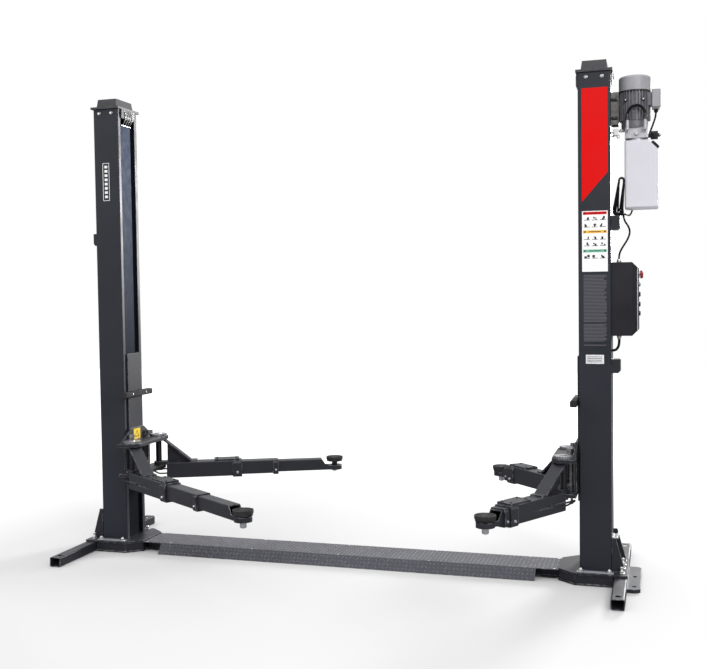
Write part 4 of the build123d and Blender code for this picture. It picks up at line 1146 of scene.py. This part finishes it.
RIB_CIRCLE, STUD_ANGLES = 0.036, (0.59, 2.55, 3.73, 5.69)
rib = bar((0.026, 0.0042, 0.0018), 0.0004)
for name in ARMS:
    rider = f"{name}_pad_lift"
    low, high = (np.array(corner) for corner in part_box(f"{name}_pad_screw"))
    pad_bottom, pad_top = (np.array(corner)[2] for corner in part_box(f"{name}_pad"))
    x, y = (low[0] + high[0]) / 2, (low[1] + high[1]) / 2
    screw = moved(helix(0.0176, 0.0048, 12, 0.0008), (x, y, low[2] + 0.002))
    end = turned([(0.012, -0.003), (0.0165, 0.0), (0.0165, 0.001)], 24)
    thread = [screw, moved(end, (x, y, low[2]))]
    piece(f"{name}_thread", thread, dark_steel, rider, 50)
    radius = (high[0] - low[0]) / 2 + 0.0032
    lip = ribbed(radius, 0.0150, 30, 0.0026, 0.0016)
    piece(f"{name}_pad_lip", moved(lip, (x, y, pad_bottom)), black_plastic, rider)
    spokes = [
        moved(rib, on_circle((x, y), RIB_CIRCLE, a, pad_top + 0.0005), turn=a)
        for a in np.linspace(0, 2 * np.pi, 16, endpoint=False)
    ]
    piece(f"{name}_pad_ribs", spokes, rubber, rider)
    stud_places = [on_circle((x, y), RIB_CIRCLE, a, pad_top - 0.0003) for a in STUD_ANGLES]
    studs = repeated(socket_screw(0.0048, 0.0022), stud_places)
    piece(f"{name}_pad_studs", studs, dark_steel, rider)
print("pads dressed")

# %% [markdown]
# ## Arm locks
# A lock rod goes down through both yoke plates beside each pivot. A spring round it pushes the toothed
# block into the gear, and nuts hold the rod at both plates.

# %% Lock springs, nuts and bumper screws
ROD_X, ROD_Y = INNER - 0.042, 0.100
SPRING_FOOT, YOKE_TOP, YOKE_BELOW = 0.5215, 0.690, 0.4735
BUMPER_Y, BUMPER_Z = 0.085, 0.985
for side_name, side in (("left", -1), ("right", 1)):
    shapes = []
    for end in BOTH:
        foot = (side * ROD_X, end * ROD_Y, SPRING_FOOT)
        shapes.append(moved(helix(0.0098, 0.0088, 14, 0.0017, 8), foot))
    piece(f"{side_name}_lock_springs", shapes, lock_steel, f"{side_name}_lift", crease=70)
    nuts = []
    for end in BOTH:
        nuts.append(moved(hex_bolt(0.024, 0.009), (side * ROD_X, end * ROD_Y, YOKE_TOP)))
        nuts.append(moved(hex_bolt(0.017, 0.007), (side * ROD_X, end * ROD_Y, YOKE_BELOW), (0, 0, -1)))
    piece(f"{side_name}_lock_nuts", nuts, zinc, f"{side_name}_lift")
    face = side * (INNER - 0.045)
    screws = [
        moved(socket_screw(0.007, 0.003), (face, end * BUMPER_Y, BUMPER_Z), (-side, 0, 0)) for end in BOTH
    ]
    piece(f"{side_name}_bumper_screws", screws, zinc, f"{side_name}_lift")
print("locks dressed")

# %% [markdown]
# ## Control box
# A pale wire round the box's front is a painted highlight along the lid's edge. The lid is held by four
# screws. The wire is bent round a rounded rectangle, whose corners are four quarter circles.


# %% The box's rim and lid screws
def rounded_loop(half_y, half_z, corner, count=6):
    """Points of a rounded rectangle in the y, z plane: corner centres plus arcs."""
    sweep = np.linspace(0, np.pi / 2, count)
    quarter = np.concatenate([sweep + n * np.pi / 2 for n in range(4)])
    sign_y = np.repeat([1, -1, -1, 1], count)
    sign_z = np.repeat([1, 1, -1, -1], count)
    return np.column_stack([
        sign_y * (half_y - corner) + corner * np.cos(quarter),
        sign_z * (half_z - corner) + corner * np.sin(quarter),
    ])


BOX_FACE = OUTER + 0.143
BOX_TOP, BOX_LOW = box_high[2] - 0.018, box_low[2] + 0.018
box_middle = (BOX_TOP + BOX_LOW) / 2
loop = rounded_loop(0.0735, (BOX_TOP - BOX_LOW) / 2 - 0.0275, 0.010)
rim = np.column_stack([np.full(len(loop), BOX_FACE - 0.0065), loop[:, 0], loop[:, 1] + box_middle])
# The pale rim wire is a painted highlight on the lid's edge.
piece("box_rim_highlight", wire(rim, 0.0026, 8, True), lid_edge_highlight_paint, crease=60)
LID_SCREW_Y, LID_SCREW_Z = 0.052, 0.150
lid_screws = [
    moved(
        socket_screw(0.0042, 0.0022),
        (BOX_FACE - 0.0002, across * LID_SCREW_Y, box_middle + up * LID_SCREW_Z),
        (1, 0, 0),
    )
    for across in BOTH for up in BOTH
]
piece("lid_screws", lid_screws, bright_zinc)
print("rim of", len(loop), "points")

# %% [markdown]
# Silver glands grip the cables above and below the box, rings frame the two buttons, and a pale line
# marks each knob. The buttons and knobs themselves are CAD nodes, so their boxes give the places.

# %% Glands, rings and pointers
GLAND_X, GLAND_Y = OUTER + 0.040, -0.060
gland = joined([
    turned([(0.0128, 0), (0.0128, 0.006), (0.012, 0.0065)], 6),
    turned([(0.0108, 0.0065), (0.0112, 0.012), (0.0096, 0.0172), (0.0066, 0.0184), (0.0054, 0.0184)], 24),
])
glands = [
    moved(gland, (GLAND_X, GLAND_Y, BOX_TOP)),
    moved(gland, (GLAND_X, GLAND_Y, BOX_LOW), (0, 0, -1)),
]
piece("cable_glands", glands, bright_zinc)
rings = []
for node, radius in (("emergency_stop", 0.0165), ("start_button", 0.0145)):
    low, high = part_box(node)
    ring = turned([(radius, 0), (radius, 0.0022), (radius - 0.0015, 0.003), (radius - 0.003, 0.003)], 32)
    rings.append(moved(ring, (BOX_FACE, 0, (low[2] + high[2]) / 2), (1, 0, 0)))
piece("button_rings", rings, zinc)
knob_low, knob_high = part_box("selector_knobs")
pointers = [
    moved(bar((0.0016, 0.011, 0.0005), 0.0001), (knob_high[0] + 0.0001, 0, z + 0.004), (1, 0, 0))
    for z in (knob_high[2] - 0.013, (knob_low[2] + knob_high[2]) / 2 - 0.002, knob_low[2] + 0.013)
]
piece("knob_pointers", pointers, white_film)
print("control box dressed")

# %% [markdown]
# ## Power unit
# A black ring under the fan cover is painted shadow in the gap between cover and motor. Black bars on
# the cover's top are its air slots, their dark painted shade inside the openings. Two ringed bolts sit
# on the side that faces the camera. The rings sit where the round of the motor is, at
# y = -sqrt(R^2 - x^2).

# %% Motor
MOTOR_RADIUS = 0.082
# Black ring: painted shadow in the gap under the fan cover.
gap_shadow_ring = turned([(0.0834, 0), (0.0834, 0.006)], 48)
gap_shadow_place = (MOTOR_X, 0, fan_low[2] - 0.0062)
piece("cover_gap_shadow", moved(gap_shadow_ring, gap_shadow_place), black_plastic)
# Black bars for the air slots: painted shade inside the openings.
SLOT_CIRCLE, slot_shade_bar = 0.044, bar((0.024, 0.0042, 0.0008), 0.0002)
slot_shade_bars = [
    moved(slot_shade_bar, on_circle((MOTOR_X, 0), SLOT_CIRCLE, a, fan_high[2] + 0.0002), turn=a + np.pi / 2)
    for a in np.linspace(0, 2 * np.pi, 20, endpoint=False)
]
piece("cover_slot_shade", slot_shade_bars, black_plastic)
EYE_X, EYE_Z = 0.046, 2.620
boss = turned([(0.0095, -0.012), (0.0095, 0.003), (0.0085, 0.004)], 20)
circle = np.linspace(0, 2 * np.pi, 24, endpoint=False)
ring_points = np.column_stack([0.0068 * np.cos(circle), 0 * circle, 0.0068 * np.sin(circle)])
eyes, eye_bolts = [], []
for offset in (-EYE_X, EYE_X):
    face = -math.sqrt(MOTOR_RADIUS**2 - offset**2)
    eyes.append(moved(boss, (MOTOR_X + offset, face, EYE_Z), (0, -1, 0)))
    eyes.append(wire(ring_points + [MOTOR_X + offset, face - 0.0065, EYE_Z], 0.0022, 8, True))
    eye_bolts.append(moved(hex_bolt(0.009, 0.004), (MOTOR_X + offset, face - 0.004, EYE_Z), (0, -1, 0)))
piece("motor_eyes", eyes, dark_steel, crease=60)
piece("eye_bolts", eye_bolts, bright_zinc)
print(len(slot_shade_bars), "air slots")

# %% [markdown]
# The terminal box has a lid with soft corners and a screw in each, and the power cable enters it from
# below through a black gland, which is the control box's gland turned upside down.

# %% The terminal box's lid
LID_WIDE, LID_LOW, LID_HIGH, LID_IN = 0.098, 2.576, 2.672, motor_high[0] - 0.044
lid = bar((0.0445, LID_WIDE, LID_HIGH - LID_LOW), 0.004)
lid_shapes = [moved(lid, (LID_IN + 0.0225, 0, (LID_LOW + LID_HIGH) / 2))]
piece("terminal_lid", lid_shapes, cover_alloy)
corner_screws = [
    moved(socket_screw(0.0034, 0.0018), (motor_high[0] + 0.0004, y, z), (1, 0, 0))
    for y in (-0.039, 0.039) for z in (LID_LOW + 0.010, LID_HIGH - 0.010)
]
piece("terminal_screws", corner_screws, bright_zinc)
cable_x, cable_y = from_hank[-1][:2]
entry = moved(gland, (cable_x, cable_y, LID_LOW + 0.001), (0, 0, -1))
piece("terminal_gland", entry, black_plastic)
print("lid", round(LID_HIGH - LID_LOW, 3), "m high")

# %% [markdown]
# The pump block has four cap screws and a large plug on its face. Crimped ferrules grip both ends of
# the arched hose, and the return hose starts at a nut on the block's side.

# %% Pump screws and hose ends
PUMP_X, PUMP_FACE = 1.7045, -0.056
pump_screws = [
    moved(socket_screw(0.0052, 0.005), (PUMP_X + x, PUMP_FACE, z), (0, -1, 0))
    for x in (-0.048, 0.048) for z in (2.427, 2.449)
]
pump_screws += [moved(hex_bolt(0.019, 0.010), (PUMP_X, PUMP_FACE, 2.440), (0, -1, 0))]
piece("pump_screws", pump_screws, zinc)
ferrule = joined([
    turned([(0.0112, 0), (0.0112, 0.010), (0.0104, 0.011)], 6),
    turned([(0.0094, 0.011), (0.0098, 0.014), (0.0094, 0.030), (0.0086, 0.032)], 24),
])
ends = [moved(ferrule, (x, y, z - 0.012)) for x, y, z in (arch_route[0], arch_route[-1])]
piece("hose_ferrules", ends, dark_steel)
elbow_nut = moved(hex_bolt(0.017, 0.012), back_route[0], (-1, 0, 0))
piece("return_nut", elbow_nut, bright_zinc)
print(len(pump_screws), "screws on the pump")

# %% [markdown]
# The lowering valve ends in a bright nut and is fed by a square black plug. A small white plug block
# hangs beside the column, where the photograph shows a pale connector.

# %% Valve and plugs
valve_low, valve_high = (np.array(corner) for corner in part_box("lowering_valve"))
valve_z = (valve_low[2] + valve_high[2]) / 2
valve_end = joined([
    turned([(0.011, 0), (0.011, 0.005), (0.010, 0.006)], 6),
    turned([(0.0055, 0.006), (0.0055, 0.009), (0.004, 0.010)], 16),
])
piece("valve_nut", moved(valve_end, (valve_high[0] - 0.0005, 0, valve_z), (1, 0, 0)), bright_zinc)
plug_x, plug_z = valve_high[0] - 0.030, valve_z + 0.002
plug_tail = turned([(0.006, 0), (0.006, 0.010), (0.0045, 0.012)], 16)
plug = [
    moved(bar((0.016, 0.030, 0.026), 0.0012), (plug_x, -0.031, plug_z)),
    moved(plug_tail, (plug_x, -0.046, plug_z), (0, -1, 0)),
]
piece("valve_plug", plug, black_plastic)
WHITE_Y, WHITE_Z = -0.050, 2.452
white_tail = turned([(0.0075, 0), (0.0075, 0.012), (0.006, 0.014)], 16)
white_block = [
    moved(bar((0.014, 0.010, 0.012), 0.001), (OUTER + 0.006, WHITE_Y, WHITE_Z)),
    moved(bar((0.030, 0.024, 0.036), 0.003), (OUTER + 0.028, WHITE_Y, WHITE_Z)),
    moved(white_tail, (OUTER + 0.034, WHITE_Y, WHITE_Z - 0.018), (0.5, 0, -1)),
]
piece("white_connector", white_block, white_plastic)
print("valve at", round(float(valve_z), 3), "m")

# %% [markdown]
# The tank is blown in a mould of two halves, so a faint seam runs round its middle, all but the
# slanted corner. Its filler cap stands square on that corner and has a ribbed rim to grip.

# %% Tank seam and filler cap
slant = np.array([1.0, 0, 1.0])
cap_foot = np.array([tank_high[0] - 0.026, 0, tank_high[2] - 0.026])
rim_shape = ribbed(0.0252, 0.012, 30, 0.0012, 0.001)
rim_place = cap_foot + slant / np.sqrt(2) * 0.0085
piece("filler_rim", moved(rim_shape, rim_place, slant), black_plastic)
seam_corners = np.array([
    (tank_low[0], tank_low[2]), (tank_high[0], tank_low[2]), (tank_high[0], tank_high[2] - 0.052),
    (tank_high[0] - 0.052, tank_high[2]), (tank_low[0], tank_high[2]),
])
seams = [
    bead((a[0], 0, a[1]), (b[0], 0, b[1]), 0.0011, 0.05)
    for a, b in zip(seam_corners, np.roll(seam_corners, -1, axis=0))
    if abs((a + b)[0] / 2 - cap_foot[0]) > 0.004
]
piece("tank_seam", seams, tank_plastic)
print(len(seams), "straight seams")

# %% [markdown]
# The last fasteners hold the motor's bracket and the three latch covers, one on the left column and
# two on the right.

# %% Bracket bolts and latch screws
bracket_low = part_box("motor_bracket")[0]
bracket_bolts = [
    moved(hex_bolt(0.013, 0.008, 0.0105), (OUTER + x, bracket_low[1], z), (0, -1, 0))
    for x in (0.011, 0.028) for z in (2.530, 2.630)
]
piece("bracket_bolts", bracket_bolts, dark_steel)
LATCHES = ((-1, 0.023, 1.9625), (1, 0.048, 1.9625), (1, 0.048, 1.1895))
latch_screws = []
for side, out, middle in LATCHES:
    for z in (-0.020, 0.022):
        place = (side * (OUTER + out - 0.0002), -0.075, middle + z)
        latch_screws.append(moved(socket_screw(0.0052, 0.0024), place, (side, 0, 0)))
piece("latch_screws", latch_screws, zinc)
print(len(bracket_bolts), "bracket bolts,", len(latch_screws), "latch screws")

# %% [markdown]
# ## Studio
# The photograph has a white sweep and soft light that mostly comes from above. The world's strength
# follows the direction that a ray looks in: dim at the horizon and bright overhead. Rays from the
# camera, or through something clear, see plain white.


# %% World
world = bpy.data.worlds.new("studio")
bpy.context.scene.world = world
world.use_nodes = True
air = world.node_tree
light_path = air.nodes.new("ShaderNodeLightPath")
direct = air.nodes.new("ShaderNodeMath")
direct.operation = "MAXIMUM"
air.links.new(light_path.outputs["Is Camera Ray"], direct.inputs[0])
air.links.new(light_path.outputs["Is Transmission Ray"], direct.inputs[1])
looking = air.nodes.new("ShaderNodeTexCoord")
upwards = air.nodes.new("ShaderNodeSeparateXYZ")
air.links.new(looking.outputs["Generated"], upwards.inputs["Vector"])
sky = ranged(air, upwards.outputs["Z"], 0.20, 1.50, 0.05, 0.50)
brighter = air.nodes.new("ShaderNodeMath")
brighter.operation = "MAXIMUM"
air.links.new(direct.outputs["Value"], brighter.inputs[0])
air.links.new(sky, brighter.inputs[1])
background = air.nodes["Background"]
background.inputs["Color"].default_value = (1, 1, 1, 1)
air.links.new(brighter.outputs["Value"], background.inputs["Strength"])
print("world of", len(air.nodes), "nodes")

# %% [markdown]
# The floor is one large square. It keeps the lift's soft shadow near the middle, and glows white for
# the camera further out, so that it fades into the background without an edge. Glossy rays see it
# darker, as the shaded floor under a car lift is.

# %% Floor
floor_points = np.array([(-14, -14, 0), (14, -14, 0), (14, 14, 0), (-14, 14, 0)], float)
floor_mesh = bpy.data.meshes.new("floor")
floor_mesh.from_pydata((floor_points - [0, 0, 0.0008]).tolist(), [], [(0, 1, 2, 3)])
floor_paper, floor_tree, floor_shader = new_finish("floor_paper", (0.93, 0.93, 0.93), 0.9)
paper_path = floor_tree.nodes.new("ShaderNodeLightPath")
across_floor = floor_tree.nodes.new("ShaderNodeTexCoord")
away = floor_tree.nodes.new("ShaderNodeVectorMath")
away.operation = "LENGTH"
floor_tree.links.new(across_floor.outputs["Object"], away.inputs[0])
far_glow = ranged(floor_tree, away.outputs["Value"], 0.02, 0.60, 2.2, 5.5)
lift_up = floor_tree.nodes.new("ShaderNodeMath")
lift_up.operation = "MULTIPLY"
floor_tree.links.new(paper_path.outputs["Is Camera Ray"], lift_up.inputs[0])
floor_tree.links.new(far_glow, lift_up.inputs[1])
floor_shader.inputs["Emission Color"].default_value = (1, 1, 1, 1)
mirrored = mixed(floor_tree, paper_path.outputs["Is Glossy Ray"], (0.50, 0.50, 0.50), (0.20, 0.20, 0.21))
floor_tree.links.new(mirrored, floor_shader.inputs["Base Color"])
floor_tree.links.new(lift_up.outputs["Value"], floor_shader.inputs["Emission Strength"])
floor_mesh.materials.append(floor_paper)
floor = bpy.data.objects.new("floor", floor_mesh)
bpy.context.scene.collection.objects.link(floor)
print("floor", round(float(np.ptp(floor_points[:, 0])), 1), "m wide")

# %% [markdown]
# Two large soft lamps model the forms, one high on the right and a weaker one on the left. A third
# behind on the right is mirrored along the left column's slot. A lamp shines along its own -z, so
# its z axis points from the aim back to the lamp.


# %% Lamps
def soft_lamp(name, place, aim, size, power):
    """A square area lamp that points from its place at an aim."""
    light = bpy.data.lights.new(name, "AREA")
    light.size = size
    light.energy = power
    lamp = bpy.data.objects.new(name, light)
    w = np.subtract(place, aim) / np.linalg.norm(np.subtract(place, aim))
    u = np.cross([0, 0, 1.0], w)
    u /= np.linalg.norm(u)
    matrix = np.eye(4)
    matrix[:3, :] = np.column_stack([u, np.cross(w, u), w, place])
    lamp.matrix_world = Matrix(matrix.tolist())
    bpy.context.scene.collection.objects.link(lamp)
    return lamp


soft_lamp("key", (4.5, -6.5, 5.5), (0, 0, 1.2), 4.0, 300)
soft_lamp("fill", (-6.0, -4.5, 3.5), (0, 0, 1.2), 5.0, 60)
soft_lamp("rim", (3.4, 7.2, 3.0), (-1.4, 0, 2.0), 1.7, 600)
bpy.context.scene.view_settings.view_transform = "Standard"
print("three lamps")
